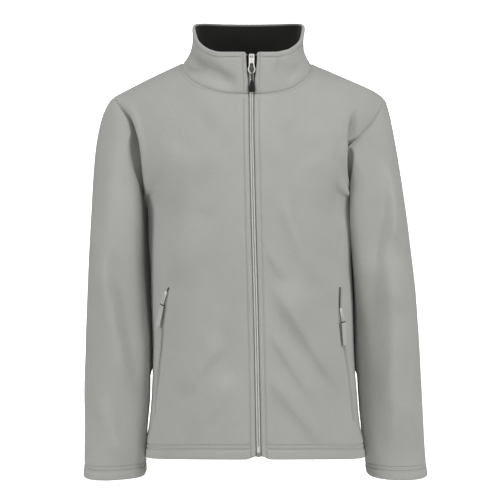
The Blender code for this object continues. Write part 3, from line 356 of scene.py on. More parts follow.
POCKET_LOOP = [
    (0.0, 2.2, -2.2), (1.6, 2.2, -2.1), (2.3, 2.2, -1.4), (2.5, 2.2, 0.0), (2.4, 2.4, 6.0),
    (2.2, 3.2, 11.5), (1.4, 3.4, 13.0), (0.0, 3.4, 13.5),
]
TAB_OUT = 3.4
POCKET_TAB = Table("down wide deep", [
    (14.6, 4.0, 1.0), (15.2, 4.6, 1.3), (18.0, 4.6, 1.2), (50.0, 4.6, 1.2), (55.2, 4.6, 1.3),
    (55.8, 4.2, 0.9),
])

# Places on the cloth: origin, across, out and down, as the frame's own parts have them
SLIDER_PLACE = (
    (2.712, -92.59, 27.0),
    (0.99999, -0.00032, -0.0041), (-2e-05, -0.99734, 0.07285), (-0.00411, -0.07285, -0.99733),
)
PULL_PLACE = (
    (2.712, -92.59, 27.0),
    (1.0, 6e-05, 0.00108), (-4e-05, -0.99592, 0.09026), (0.00109, -0.09026, -0.99592),
)
BOX_PLACE = (
    (14.717, -124.783, -645.5),
    (0.99981, -0.00111, 0.01936), (0.0, -0.99837, -0.05715), (0.0194, 0.05714, -0.99818),
)
POCKET_PLACES = {
    RIGHT: (
        (-144.107, -87.811, -375.09),
        (0.63305, -0.65703, -0.40933), (-0.72902, -0.68385, -0.02979), (-0.26034, 0.31726, -0.9119),
    ),
    LEFT: (
        (155.023, -85.574, -404.022),
        (0.65911, 0.74676, 0.089), (0.75003, -0.66138, -0.00508), (0.05507, 0.0701, -0.99602),
    ),
}

# Soft lights, in metres: place, what they face, width and height, and power in watts
LIGHTS = [
    ("left_light", (-2.2, -1.5, 0.7), (0.0, 0.0, -0.3), (1.2, 1.6), 46.0),
    ("right_light", (2.2, -1.5, 0.7), (0.0, 0.0, -0.3), (1.2, 1.6), 50.0),
    ("high_light", (0.0, -1.8, 2.0), (0.0, 0.0, -0.3), (1.8, 0.8), 27.0),
    ("backdrop_light", (0.0, 1.0, 1.3), (0.0, 2.0, 0.7), (2.6, 0.4), 110.0),
]
FILL_LIGHT = 0.06
CAMERA_PLACE = (0.0, -3.0, -0.2975)
CAMERA_LENS = 123.43

# The paper of the stage, in millimetres
FLOOR_Z = -950.0
SWEEP_FRONT, SWEEP_BACK = -2200.0, 2300.0
SWEEP_BEND = 900.0
SWEEP_HEIGHT = 3400.0
SWEEP_HALF_WIDTH = 1050.0


# ---------------------------------------------------------------- small helpers


def linear(colour):
    """An sRGB hex value as linear red, green and blue."""
    parts = np.array([int(colour[i : i + 2], 16) for i in (1, 3, 5)]) / 255
    return tuple(np.where(parts <= 0.04045, parts / 12.92, ((parts + 0.055) / 1.055) ** 2.4).tolist())


def size(name):
    """A length from the add-on's panel, in millimetres."""
    return getattr(bpy.context.scene.jacket_sizes, name) / MM


def unit(vectors):
    return vectors / np.maximum(np.linalg.norm(vectors, axis=-1, keepdims=True), 1e-9)


def side_name(side):
    return "left" if side == LEFT else "right"


def soft_step(value):
    value = np.clip(value, 0, 1)
    return value * value * (3 - 2 * value)


def bell(distance, width):
    return np.exp(-((distance / width) ** 2))


def superellipse(share, power):
    """The depth of a superellipse at a share of its half width."""
    return (1 - np.clip(share, 0, 1) ** power) ** (1 / power)


def signed_power(values, power):
    return np.sign(values) * np.abs(values) ** power


def circle(count, power=1, power_out=None):
    """Cosines and sines once round, raised to powers that square the circle's corners where they are below 1."""
    turn = np.arange(count) / count * 2 * math.pi
    return signed_power(np.cos(turn), power), signed_power(np.sin(turn), power_out or power)


def travelled(grid, axis):
    """Distances run along one direction of a grid of points, from its start."""
    steps = np.linalg.norm(np.diff(grid, axis=axis), axis=-1)
    return np.concatenate([np.zeros_like(np.take(steps, [0], axis)), np.cumsum(steps, axis)], axis)


def from_ends(grid, axis):
    """Distances of a grid's points from the nearer of its two edges in one direction."""
    run = travelled(grid, axis)
    return np.minimum(run, np.take(run, [-1], axis) - run)


def read_along(at, run, points):
    """Points of a path at some distances, between those where its own points lie."""
    return np.stack([np.interp(at, run, points[:, i]) for i in range(points.shape[1])], -1)


def bridge(w, start, end, leave, arrive):
    """A cubic from start (w = 0) to end (w = 1) that leaves and arrives in given directions."""
    line = start * (1 + 2 * w) * (1 - w) ** 2 + end * w**2 * (3 - 2 * w)
    return line + leave * w * (1 - w) ** 2 + arrive * w**2 * (w - 1)


def spread(length, step, start=(0,), end=(0,), lines=()):
    """Places from 0 to a length: close at the given distances from the start, the end and round each line, and
    otherwise a step apart."""
    close = [line + off for line in lines for off in (-3.0, -1.8, -0.9, 0, 0.9, 1.8, 3.0)]
    fixed = np.unique(np.concatenate([start, close, length - np.asarray(end)]).round(4))
    fixed = fixed[(fixed >= 0) & (fixed < length + 0.001)]
    pieces = [np.linspace(a, b, max(1, round((b - a) / step)) + 1)[:-1] for a, b in zip(fixed, fixed[1:])]
    return np.concatenate([*pieces, fixed[-1:]])


def fold_lift(x, z, rows):
    """How far folds lift the cloth at (x, z): a bell across a bowed line, faded in and out towards its ends."""
    lift = np.zeros(np.broadcast(x, z).shape)
    for fold in map(Fold._make, rows):
        run_x, run_z = fold.x2 - fold.x1, fold.z2 - fold.z1
        length = math.hypot(run_x, run_z)
        along = ((x - fold.x1) * run_x + (z - fold.z1) * run_z) / length**2
        across = ((x - fold.x1) * run_z - (z - fold.z1) * run_x) / length
        across = across - fold.bow * 4 * along * (1 - along)
        ends = soft_step(along * 3.4) * soft_step((1 - along) * 3.4)
        lift += fold.depth * ends * bell(across, np.where(across < 0, fold.wide_a, fold.wide_b))
    return lift * bpy.context.scene.jacket_sizes.fold_depth


# ---------------------------------------------------------------- the body's surface


def torso_point(x, z, front):
    """The outer surface over (x, z): a superellipse in plan times the rounding below the shoulder ridge."""
    centre = OPENING("centre", z) if front else (TORSO("right", z) + TORSO("left", z)) / 2
    reach = np.where(x < centre, TORSO("right", z), TORSO("left", z))
    power = SIDE_POWER + (CHEST_POWER - SIDE_POWER) * soft_step((z + 300) / 130)
    across = superellipse((x - centre) / (reach - centre), power)
    height = FRONT_RIDGE_HEIGHT if front else BACK_RIDGE_HEIGHT
    below = np.clip((RIDGE("z", x) - z) / height, 0, 1)
    over = superellipse(1 - below, RIDGE_POWER)
    side = TORSO("side", z)
    full = TORSO("front" if front else "back", z)
    y = side + (full - side) * across * over
    lift = fold_lift(x, z, FOLDS["front" if front else "back"])
    fade = np.clip(across * over * 2.5 - 0.6, 0, 1)
    if front:
        fade = fade * soft_step((np.abs(x - centre) - STIFF_AT_ZIP) / STIFF_AT_ZIP)
    return np.stack([x, y + lift * fade * (-1 if front else 1), z], -1)


def hem_z(share, front):
    """The bottom edge: a little lower at the sides, and rounded up at the front opening."""
    middle = HEM_FRONT_Z if front else HEM_BACK_Z
    level = middle + (HEM_SIDE_Z - middle) * share**3
    return level + (5.5 * bell(share, 0.05) if front else 0)


def zip_edge(side, z):
    return OPENING("centre", z) + side * OPENING("half_gap", z)


def neckline(side, share):
    """(x, z) of the front neckline from the pit (0) to the shoulder (1), and of the back one from 1 to 2."""
    start = zip_edge(side, NECK_PIT_Z)
    end_x = NECK_END_X[side]
    end_z = RIDGE("z", end_x)
    angle = share * math.pi / 2
    x_front = start + (end_x - start) * np.sin(angle)
    z_front = NECK_PIT_Z + (end_z - NECK_PIT_Z) * np.clip(1 - np.cos(angle), 0, 1) ** 1.15
    x_back = NECK_BACK_X + (end_x - NECK_BACK_X) * np.sin(angle)
    z_back = BACK_NECK_Z + (end_z - BACK_NECK_Z) * np.clip(np.sin(angle), 0, 1) ** 3
    return np.where(share > 1, x_back, x_front), np.where(share > 1, z_back, z_front)


def neckline_point(side, share):
    """Points of the neck seam, round the front (0 to 1) and the back (1 to 2)."""
    x, z = neckline(side, share)
    return np.where((share > 1)[..., None], torso_point(x, z, False), torso_point(x, z, True))


def armhole(side, share):
    return ARMHOLE(side_name(side) + "_x", share), ARMHOLE(side_name(side) + "_z", share)


def shoulder_seam(side, share):
    """The seam from the neck (0) to the shoulder point (1), along the ridge."""
    neck_x, _ = neckline(side, np.array(1.0))
    tip_x, _ = armhole(side, np.array(1.0))
    x = neck_x + (tip_x - neck_x) * share
    z = RIDGE("z", x)
    return np.stack([x, TORSO("side", z), z], -1)


def twin_lines(name):
    """How far the two lines of stitches lie from an edge that is turned up by the size of that name."""
    top = size(name) - STITCHED_BELOW
    return top - size("stitch_gauge"), top


def hem_levels():
    """Shares of the way up from the hem to the underarm: close at the edge and along the two lines of stitches."""
    return spread(HEM_RUN, 3.6, ROUND_EDGE, (0,), twin_lines("hem_height")) / HEM_RUN


def upper_levels():
    """Shares of the armhole from the underarm to the shoulder point, even along the curve over the shoulder, and
    the even steps that they come from."""
    near = 1 - np.array(SEWN_EDGE) * 0.0026
    steps = np.unique(np.concatenate([np.linspace(0, 1, UPPER_COUNT + 1), near]).round(6))
    return 1 - (1 - steps[1:]) ** 1.5, steps[1:]


def front_plan(side, level, up, share):
    """(x, z) of a front. Below the underarm, level runs up from the hem (0 to 1); above it, up is the share of the
    armhole. share runs from the zip or neck out to the side or armhole."""
    rounded = np.sin(share * math.pi / 2) ** (2 / SIDE_POWER)
    low = 1 - level
    z = UNDERARM_LEVEL + (hem_z(rounded, True) - UNDERARM_LEVEL) * low
    z = z + (armhole(side, 0.0)[1] - UNDERARM_LEVEL) * rounded * level
    start = zip_edge(side, z)
    x = start + (TORSO(side_name(side), z) - start) * rounded
    way = 1 - (1 - up) ** (2 / 3)
    edge_z = UNDERARM_LEVEL + (NECK_PIT_Z - UNDERARM_LEVEL) * np.minimum(way * 2, 1)
    neck_x, neck_z = neckline(side, 1 - (1 - np.clip(way * 2 - 1, 0, 1)) ** 1.5)
    inner_x = np.where(way > 0.5, neck_x, zip_edge(side, edge_z))
    inner_z = np.where(way > 0.5, neck_z, edge_z)
    outer_x, outer_z = armhole(side, up)
    at = rounded + (share - rounded) * soft_step(up / 0.8)
    high_x = inner_x + (outer_x - inner_x) * at
    high_z = inner_z + (outer_z - inner_z) * at
    seam = shoulder_seam(side, share)
    chord = seam[..., :1, 2] + (seam[..., -1:, 2] - seam[..., :1, 2]) * share
    high_z = high_z + (seam[..., 2] - chord) * soft_step((up - 0.85) / 0.15)
    return np.where(up > 0, high_x, x), np.where(up > 0, high_z, z)


def front_sheet(side):
    """Outer points of a front: rows from hem to shoulder seam, columns by distance from the zip and neck edge."""
    levels, (ups, _) = hem_levels(), upper_levels()
    level = np.concatenate([levels, np.ones(len(ups))])[:, None]
    up = np.concatenate([np.zeros(len(levels)), ups])[:, None]
    share = np.linspace(0, 1, 420)[None]
    x, z = front_plan(side, level, up, share)
    run = travelled(torso_point(x, z, True), 1)
    near = spread(EDGE_STRIP, 1.4, ROUND_EDGE, (0,), (ZIP_LINE,))
    far = np.array(SEWN_EDGE)[::-1]
    middle = np.linspace(0, 1, 82)[1:-1]
    middle += 0.12 * np.sin(middle * math.pi)
    total = run[:, -1:]
    reach = total - far[0] - near[-1]
    places = np.concatenate([near + 0 * total, near[-1] + reach * middle, total - far], 1)
    x = np.array([np.interp(place, at, line) for place, at, line in zip(places, run, x)])
    z = np.array([np.interp(place, at, line) for place, at, line in zip(places, run, z)])
    sheet = torso_point(x, z, True)
    sheet[-1] = shoulder_seam(side, np.interp(places[-1], run[-1], share[0]))
    return sheet


def back_sheet():
    """Outer points of the back: rows from hem to the shoulder seams and neck, columns from right to left, and the
    columns' places on BACK_AT's scale. Above the underarm each point is set between the four edges of its area, in
    proportion."""
    neck_from, centre, neck_to, end = BACK_AT
    shoulder = spread(neck_from, 0.135, (0, 0.03, 0.08, 0.15, 0.25), (0,))
    neck = np.linspace(neck_from, neck_to, 56)
    at = np.concatenate([shoulder, neck[1:-1], end - shoulder[::-1]])
    angle = (at / end * 2 - 1) * math.pi / 2
    rounded = signed_power(np.sin(angle), 2 / SIDE_POWER)
    levels, (ups, _) = hem_levels(), upper_levels()
    ends_z = {side: float(armhole(side, 0.0)[1]) for side in (RIGHT, LEFT)}
    top_level = np.interp(rounded, [-1, 0, 1], [ends_z[RIGHT], UNDERARM_LEVEL, ends_z[LEFT]])
    z = top_level + (hem_z(np.abs(rounded), False) - top_level) * (1 - levels[:, None])
    right, left = TORSO("right", z), TORSO("left", z)
    middle = (right + left) / 2
    x = middle + np.where(rounded < 0, middle - right, left - middle) * rounded
    lower = torso_point(x, z, False)
    bottom = lower[-1][:, [0, 2]]
    on_right, on_left = at <= neck_from, at >= neck_to
    right_seam = shoulder_seam(RIGHT, 1 - at / neck_from)
    left_seam = shoulder_seam(LEFT, (at - neck_to) / (end - neck_to))
    behind = (at - centre) / (neck_to - centre)
    neck_right = np.stack(neckline(RIGHT, 2 - np.clip(-behind, 0, 1)), -1)
    neck_left = np.stack(neckline(LEFT, 2 - np.clip(behind, 0, 1)), -1)
    top = np.where((at < centre)[:, None], neck_right, neck_left)
    top[on_right], top[on_left] = right_seam[on_right][:, [0, 2]], left_seam[on_left][:, [0, 2]]
    a, b = (at / end)[None, :, None], ups[:, None, None]
    right_edge = np.stack(armhole(RIGHT, ups), -1)[:, None]
    left_edge = np.stack(armhole(LEFT, ups), -1)[:, None]
    corners = (1 - a) * ((1 - b) * bottom[0] + b * top[0]) + a * ((1 - b) * bottom[-1] + b * top[-1])
    point = (1 - b) * bottom + b * top + (1 - a) * right_edge + a * left_edge - corners
    upper = torso_point(point[..., 0], point[..., 1], False)
    upper[-1, on_right], upper[-1, on_left] = right_seam[on_right], left_seam[on_left]
    return np.concatenate([lower, upper]), at


def armhole_across(side, share):
    """The cloth's way over the armhole seam: out of the body, and downwards near the shoulder point."""
    turn = np.radians(SHOULDER_POINT_BEND) * soft_step((np.asarray(share) - 0.55) / 0.45)
    return np.stack([side * np.cos(turn), 0 * turn, -np.sin(turn)], -1)


def neck_across(x):
    """The cloth's way over the neck seam: up into the collar, and inwards at the sides."""
    lean = np.clip(x / 115, -1, 1)
    return unit(np.stack([-0.75 * lean, 0 * lean, 1 - 0.2 * np.abs(lean)], -1))


def grid_normals(grid, outside, closed=False):
    """Normals of a grid of points, square to both of its directions and turned to the same side as outside."""
    if closed:
        along = np.roll(grid, -1, 1) - np.roll(grid, 1, 1)
    else:
        along = np.gradient(grid, axis=1)
    normal = unit(np.cross(along, np.gradient(grid, axis=0)))
    return normal * np.sign((normal * outside).sum())


def share_normals(first, second):
    """Gives two sewn edges one set of normals: each point takes the mean of its own and the nearest one's of the
    other edge. An edge is a list of parts, each a sheet and where in it the edge lies."""
    points, normals = (
        [np.concatenate([sheet[which][place] for sheet, place in edge]) for edge in (first, second)]
        for which in (0, 1)
    )
    gaps = np.linalg.norm(points[0][:, None] - points[1][None], axis=-1)
    means = (
        unit(normals[0] + normals[1][gaps.argmin(1)]),
        unit(normals[1] + normals[0][gaps.argmin(0)]),
    )
    for edge, mean in zip((first, second), means):
        for sheet, place in edge:
            count = len(sheet.normals[place])
            sheet.normals[place], mean = mean[:count], mean[count:]


# ---------------------------------------------------------------- sleeves and collar


def sleeve_ring(side, z, angle):
    """Points of a sleeve at one height: a superellipse in plan, and tilted towards the cuff."""
    table, name = SLEEVES[side], side_name(side)
    outer, inner = table("outer", z), table("inner", z)
    cos, sin = np.cos(np.radians(angle)), np.sin(np.radians(angle))
    power = INNER_POWER(name, z)
    flat = (np.abs(cos) ** power + np.abs(sin) ** power) ** (1 / power)
    inner_front = (angle > 90) & (angle < 180)
    x_share = np.where(inner_front, cos / flat, signed_power(cos, 2 / SLEEVE_POWER))
    y_share = np.where(inner_front, sin / flat, signed_power(sin, 2 / SLEEVE_POWER))
    x = (outer + inner) / 2 + (outer - inner) / 2 * x_share
    x = x - side * TUCK(name, z) * bell(angle - TUCK_ANGLE, TUCK_WIDTH)
    x = x - side * LEAN(name, z) * bell(angle - LEAN_ANGLE, LEAN_WIDTH)
    y = table("middle", z) - table("half_depth", z) * y_share
    tilt = soft_step((CUFF_TILT_FROM - z) / (CUFF_TILT_FROM - CUFF_Z))
    drop = tilt * (CUFF_INNER_RISE[side] * -cos - CUFF_FRONT_DROP * sin)
    return np.stack([x, y, z + drop], -1)


def sleeve_shares():
    """Shares of the armhole down the front of a sleeve, from the shoulder point (1) to the underarm (0)."""
    return 1 - (np.arange(SLEEVE_COLUMNS + 1) / SLEEVE_COLUMNS) ** 1.5


def round_arm(angle):
    """The distance round a sleeve to an angle."""
    return np.radians(angle) * ELBOW_RADIUS


def sleeve_sheet(side):
    """Outer points of a sleeve: rows from the armhole to the cuff, columns from the shoulder point round the front,
    underarm and back. The cap is a cubic from the armhole, left square to it, to the ring at the cap's level."""
    down = sleeve_shares()
    share = np.concatenate([down, down[::-1][1:-1]])
    on_front = np.arange(len(share)) <= SLEEVE_COLUMNS
    x, z = armhole(side, share)
    loop = np.where(on_front[:, None], torso_point(x, z, True), torso_point(x, z, False))
    loop[0] = shoulder_seam(side, np.array(1.0))
    angle = np.where(on_front, 180 * (1 - share), 180 * (1 + share))
    end = sleeve_ring(side, np.full(len(angle), CAP_LEVEL), angle)
    reach = np.linalg.norm(end - loop, axis=1)[:, None]
    puff = (UNDERARM_PUFF + (CAP_PUFF[side] - UNDERARM_PUFF) * share**1.5)[:, None]
    leave = armhole_across(side, share) * puff
    arrive = unit(sleeve_ring(side, np.full(len(angle), CAP_LEVEL - 4), angle) - end) * reach
    w = spread(CAP_RUN, 3.5, (0, 0.4, 0.9, 1.5, 2.3, 3.3, 4.6, 6.5, 9.0), (0,))[:, None, None] / CAP_RUN
    cap = bridge(w, loop, end, leave, arrive)
    z = CUFF_Z + spread(CAP_LEVEL - CUFF_Z, 3.6, ROUND_EDGE, (0,), twin_lines("cuff_height"))[::-1][1:, None]
    even = np.linspace(0, 360, len(angle) + 1)[:-1]
    angles = angle + (even - angle) * soft_step((CAP_LEVEL - z) / 110)
    grid = np.concatenate([cap, sleeve_ring(side, z + 0 * angle, angles)])
    angles = np.concatenate([angle + np.zeros((len(w), 1)), angles])
    normals = grid_normals(grid, grid - grid.mean(1, keepdims=True), closed=True)
    rows = [(round_arm(one), z1, round_arm(two), *rest) for one, z1, two, *rest in SLEEVE_FOLDS[side]]
    lift = fold_lift(round_arm(angles), grid[..., 2], rows)
    lift *= soft_step(travelled(grid, 0) / 30)
    return grid + normals * lift[..., None]


def collar_sheet():
    """Outer points of the collar: rows from the neck seam to the top edge, columns from the left front round the
    back to the right front. Each column is a cubic, upright at both ends."""
    turn = np.linspace(0, 2, 500)
    base = np.concatenate([neckline_point(LEFT, turn), neckline_point(RIGHT, turn[::-1])[1:]])
    angle = 90 * np.concatenate([turn, turn[::-1][1:]])
    on_left = np.arange(len(base)) < len(turn)
    run = travelled(base, 0)
    edge = spread(EDGE_STRIP, 1.4, ROUND_EDGE, (0,), (ZIP_LINE,))
    inner = spread(run[-1] - 2 * EDGE_STRIP, 3.2)[1:-1] + EDGE_STRIP
    places = np.concatenate([edge, inner, run[-1] - edge[::-1]])
    base = read_along(places, run, base)
    on_left = np.interp(places, run, on_left) > 0.5
    angle = np.interp(places, run, angle)
    x = np.where(on_left, COLLAR_TOP("left_x", angle), COLLAR_TOP("right_x", angle))
    top = np.stack([x, COLLAR_TOP("y", angle), COLLAR_TOP("z", angle)], -1)
    corner = np.clip(CORNER - np.minimum(places, run[-1] - places), 0, CORNER)
    top[:, 2] -= CORNER - np.sqrt(CORNER**2 - 0.97 * corner**2)
    height = np.linalg.norm(top - base, axis=1)[:, None]
    leave = neck_across(base[:, 0]) * height * (1 + 0.4 * np.abs(base[:, :1]) / 115)
    arrive = np.array([0, 0, 1.0]) * height * 0.8
    w = spread(COLLAR_RUN, 3.0, SEWN_EDGE, ROUND_EDGE, (COLLAR_RUN - TOP_LINE,))[:, None, None] / COLLAR_RUN
    grid = bridge(w, base, top, leave, arrive)
    normals = grid_normals(grid, grid - grid.mean(axis=(0, 1)))
    lift = 0
    for panel, way in (("front", -1), ("back", 1)):
        folds = fold_lift(grid[..., 0], grid[..., 2], COLLAR_FOLDS[panel])
        lift = lift + folds * soft_step(way * grid[..., 1] / 25)
    lift *= soft_step(from_ends(grid, 1) / STIFF_AT_ZIP) * soft_step(w[..., 0] * 8)
    return grid + normals * lift[..., None]


Sheet = namedtuple("Sheet", "grid normals")  # a cloth surface: its outer points, and the ways out of them


class Cloth:
    """Every cloth surface with its normals, alike along each seam that two of them share."""

    def __init__(self):
        self.fronts, self.sleeves = {}, {}
        for side in (RIGHT, LEFT):
            grid = front_sheet(side)
            self.fronts[side] = Sheet(grid, grid_normals(grid, np.array([0, -1.0, 0])))
            grid = sleeve_sheet(side)
            out = grid - grid.mean(1, keepdims=True)
            self.sleeves[side] = Sheet(grid, grid_normals(grid, out, closed=True))
        grid, self.back_at = back_sheet()
        self.back = Sheet(grid, grid_normals(grid, np.array([0, 1.0, 0])))
        grid = collar_sheet()
        self.collar = Sheet(grid, grid_normals(grid, grid - grid.mean(axis=(0, 1))))
        self.hem_lines, self.cuff_lines = twin_lines("hem_height"), twin_lines("cuff_height")
        self.underarm = len(hem_levels()) - 1
        ups, steps = upper_levels()
        self.pit = self.underarm + 1 + int(np.searchsorted(steps, 0.5))
        self.up = np.concatenate([np.zeros(self.underarm + 1), ups])[:, None]
        down = sleeve_shares()
        self.sleeve_up = np.concatenate([down, 0 * down[1:-1]])
        self.join()

    def join(self):
        """Shares normals over the side, shoulder, armhole and neck seams."""
        low, high = slice(0, self.underarm + 1), slice(self.underarm, None)
        neck_from, _, neck_to, _ = BACK_AT
        for side in (RIGHT, LEFT):
            front, column = self.fronts[side], -1 if side == LEFT else 0
            shoulder = self.back_at >= neck_to if side == LEFT else self.back_at <= neck_from
            share_normals([(front, (low, -1))], [(self.back, (low, column))])
            share_normals([(front, -1)], [(self.back, (-1, shoulder))])
            armhole_edge = [(front, (high, -1)), (self.back, (high, column))]
            share_normals(armhole_edge, [(self.sleeves[side], 0)])
        neck = (-1, (self.back_at >= neck_from) & (self.back_at <= neck_to))
        above_pit = (slice(self.pit, None), 0)
        left, right = ((self.fronts[side], above_pit) for side in (LEFT, RIGHT))
        share_normals([left, (self.back, neck), right], [(self.collar, 0)])


# ---------------------------------------------------------------- cloth shells


def groove(distance, seam):
    """The groove that a seam draws into the cloth on each side of it: a bell."""
    depth, width = seam
    return depth * bell(distance, width)


def plump(distance, width, height):
    """A soft roll between an edge and a line of stitches: half a sine, flattened."""
    return height * np.sin(np.pi * np.clip(distance / width, 0, 1)) ** 0.8


def stitched(distance, lines, depth=0.8, width=1.3):
    """Grooves that lines of stitches draw into soft cloth."""
    return -depth * sum(bell(distance - line, width) for line in lines)


def rounding(distance, thick):
    """How far each face of a free edge turns in towards the middle of the cloth: a quarter circle."""
    half = thick / 2
    inside = np.clip(half - distance, 0, half)
    return 0.97 * (half - np.sqrt(np.maximum(half**2 - inside**2, 0)))


def faces_of(rows, columns, closed):
    """Quads of the closed shell between two grids of points, the outer first."""
    index = np.arange(rows * columns).reshape(rows, columns)
    if closed:
        index = np.concatenate([index, index[:, :1]], 1)
    a, b, c, d = index[:-1, :-1], index[:-1, 1:], index[1:, 1:], index[1:, :-1]
    quads = np.stack([a, b, c, d], -1).reshape(-1, 4)
    edges = [index[0], index[-1][::-1]]
    if not closed:
        edges += [index[::-1, 0], index[:, -1]]
    other = rows * columns
    rim = [np.stack([edge[1:], edge[:-1], edge[:-1] + other, edge[1:] + other], -1) for edge in edges]
    return np.concatenate([quads, quads[:, ::-1] + other, *rim])


def mesh_object(name, points, faces, material, uv=None):
    """A smooth mesh of quads or triangles from whole arrays of points, in millimetres, turned to face outwards, in
    the finish of a given name."""
    points, faces = np.asarray(points, float), np.asarray(faces)
    first = points[faces[:, 0]]
    volume = sum(
        np.einsum("ij,ij->", first, np.cross(points[faces[:, i]] - first, points[faces[:, i + 1]] - first))
        for i in range(1, faces.shape[1] - 1)
    )
    if volume < 0:
        faces = faces[:, ::-1]
    mesh = bpy.data.meshes.new(name)
    mesh.vertices.add(len(points))
    mesh.vertices.foreach_set("co", (points * MM).ravel())
    mesh.loops.add(faces.size)
    mesh.loops.foreach_set("vertex_index", faces.ravel().astype(np.int32))
    mesh.polygons.add(len(faces))
    mesh.polygons.foreach_set("loop_start", np.arange(0, faces.size, faces.shape[1], dtype=np.int32))
    mesh.update(calc_edges=True)
    if uv is not None:
        layer = mesh.uv_layers.new(name="cloth")
        layer.data.foreach_set("uv", (np.asarray(uv)[faces.ravel()] * MM).ravel())
    mesh.shade_smooth()
    mesh.materials.append(finish(material))
    piece = bpy.data.objects.new(name, mesh)
    bpy.context.scene.collection.objects.link(piece)
    return piece


def shell(name, outer, inner, material, closed=False):
    """A closed piece of cloth between an outer and an inner grid, with its run along and across as UV."""
    uv = np.stack([travelled(outer, 1), travelled(outer, 0)], -1).reshape(-1, 2)
    points = np.concatenate([outer.reshape(-1, 3), inner.reshape(-1, 3)])
    return mesh_object(name, points, faces_of(*outer.shape[:2], closed), material, np.concatenate([uv, uv]))


def tube_faces(count, around, closed):
    """Quads of a tube of rings of points, joined end to start where the tube is closed."""
    index = np.arange(count * around).reshape(count, around)
    if closed:
        index = np.concatenate([index, index[:1]])
    turned = np.roll(index, -1, 1)
    return np.stack([index[:-1], turned[:-1], turned[1:], index[1:]], -1).reshape(-1, 4)


def halves(quads):
    """Quads as two triangles each, so that one array holds them with other triangles."""
    return np.concatenate([quads[:, [0, 1, 2]], quads[:, [0, 2, 3]]])


def solid_of_rings(name, rings, material, closed=False, uv=None):
    """A closed piece through rings of points. Open ends shrink to a point over one more ring each."""
    rings = np.asarray(rings, float)
    if closed:
        faces = tube_faces(*rings.shape[:2], True)
        return mesh_object(name, rings.reshape(-1, 3), faces, material, uv)
    ends = [rings[i].mean(0) + (rings[i] - rings[i].mean(0)) * 0.02 for i in (0, -1)]
    rings = np.concatenate([ends[:1], rings, ends[1:]])
    count, around = rings.shape[:2]
    points = np.concatenate([rings.reshape(-1, 3), [rings[0].mean(0), rings[-1].mean(0)]])
    base = count * around
    first, last = np.arange(around), np.arange(around) + base - around
    caps = [
        np.stack([np.roll(first, -1), first, np.full(around, base)], -1),
        np.stack([last, np.roll(last, -1), np.full(around, base + 1)], -1),
    ]
    faces = np.concatenate([halves(tube_faces(count, around, False)), *caps])
    return mesh_object(name, points, faces, material, uv)


def dress(name, grid, normals, relief, thick, free, material, closed=False):
    """A cloth shell: relief lifts its outside, and each free edge, given by distances from it, is rounded."""
    roll = np.zeros(grid.shape[:2])
    for distance in free:
        roll = np.maximum(roll, rounding(distance, thick))
    outer = grid + normals * (relief - roll)[..., None]
    inner = grid - normals * (thick - roll)[..., None]
    return shell(name, outer, inner, material, closed), outer


# ---------------------------------------------------------------- stitches


def line_at(grid, normals, distance, from_end=False):
    """The points of a grid, and its normals there, one on each row at a distance from the row's start or end."""
    if from_end:
        grid, normals = grid[:, ::-1], normals[:, ::-1]
    run = travelled(grid, 1)
    points, out = ([read_along(distance, *row) for row in zip(run, values)] for values in (grid, normals))
    return np.array(points), unit(np.array(out))


def lines_up(grid, normals, columns, distances, from_end=False):
    """The same for some of a grid's columns, at distances from its foot or its top."""
    grid, normals = (np.swapaxes(values, 0, 1)[columns] for values in (grid, normals))
    return [line_at(grid, normals, distance, from_end) for distance in distances]


def stitches(name, lines):
    """Stitches along lines of points with normals: each a small spindle, bent down into the cloth at its ends."""
    pitch, radius = size("stitch_length"), size("thread") / 2
    station = np.array([-1, -0.55, 0, 0.55, 1.0])
    thin = np.array([0.3, 0.85, 1.0, 0.85, 0.3]) * radius
    cos, sin = circle(5)
    places = []
    for points, normals in lines:
        run = travelled(points[None], 1)[0]
        middle = (np.arange(max(int(run[-1] / pitch), 1)) + 0.5) * pitch
        ends = [read_along(middle + off, run, points) for off in (-0.41 * pitch, 0, 0.41 * pitch)]
        places.append(np.concatenate([*ends, unit(read_along(middle, run, normals))], -1))
    back, middle, ahead, normal = np.split(np.concatenate(places), 4, -1)
    along = (ahead - back) / 2
    across = unit(np.cross(normal, along))
    dip = radius * (0.75 - 1.5 * station**2)
    ring = (
        middle[:, None, None]
        + along[:, None, None] * station[:, None, None]
        + normal[:, None, None] * (dip[:, None] + thin[:, None] * cos)[..., None]
        + across[:, None, None] * (thin[:, None] * sin)[..., None]
    )
    caps = [[0, 2, 1], [0, 3, 2], [0, 4, 3], [20, 21, 22], [20, 22, 23], [20, 23, 24]]
    one = np.concatenate([halves(tube_faces(5, 5, False)), caps])
    faces = (one[None] + np.arange(len(ring))[:, None, None] * 25).reshape(-1, 3)
    fit(mesh_object(name, ring.reshape(-1, 3), faces, "thread"), "garment", "fleece")


# ---------------------------------------------------------------- finishes


def node(tree, kind, settings=(), values=(), links=()):
    """Adds a node with its settings, input values and links from other nodes' outputs."""
    made = tree.nodes.new(kind)
    for name, value in dict(settings).items():
        setattr(made, name, value)
    for name, value in dict(values).items():
        made.inputs[name].default_value = value
    for name, source in dict(links).items():
        tree.links.new(source, made.inputs[name])
    return made


def rgba(colour, share=1.0):
    return (*(min(1.0, part * share) for part in colour[:3]), 1.0)


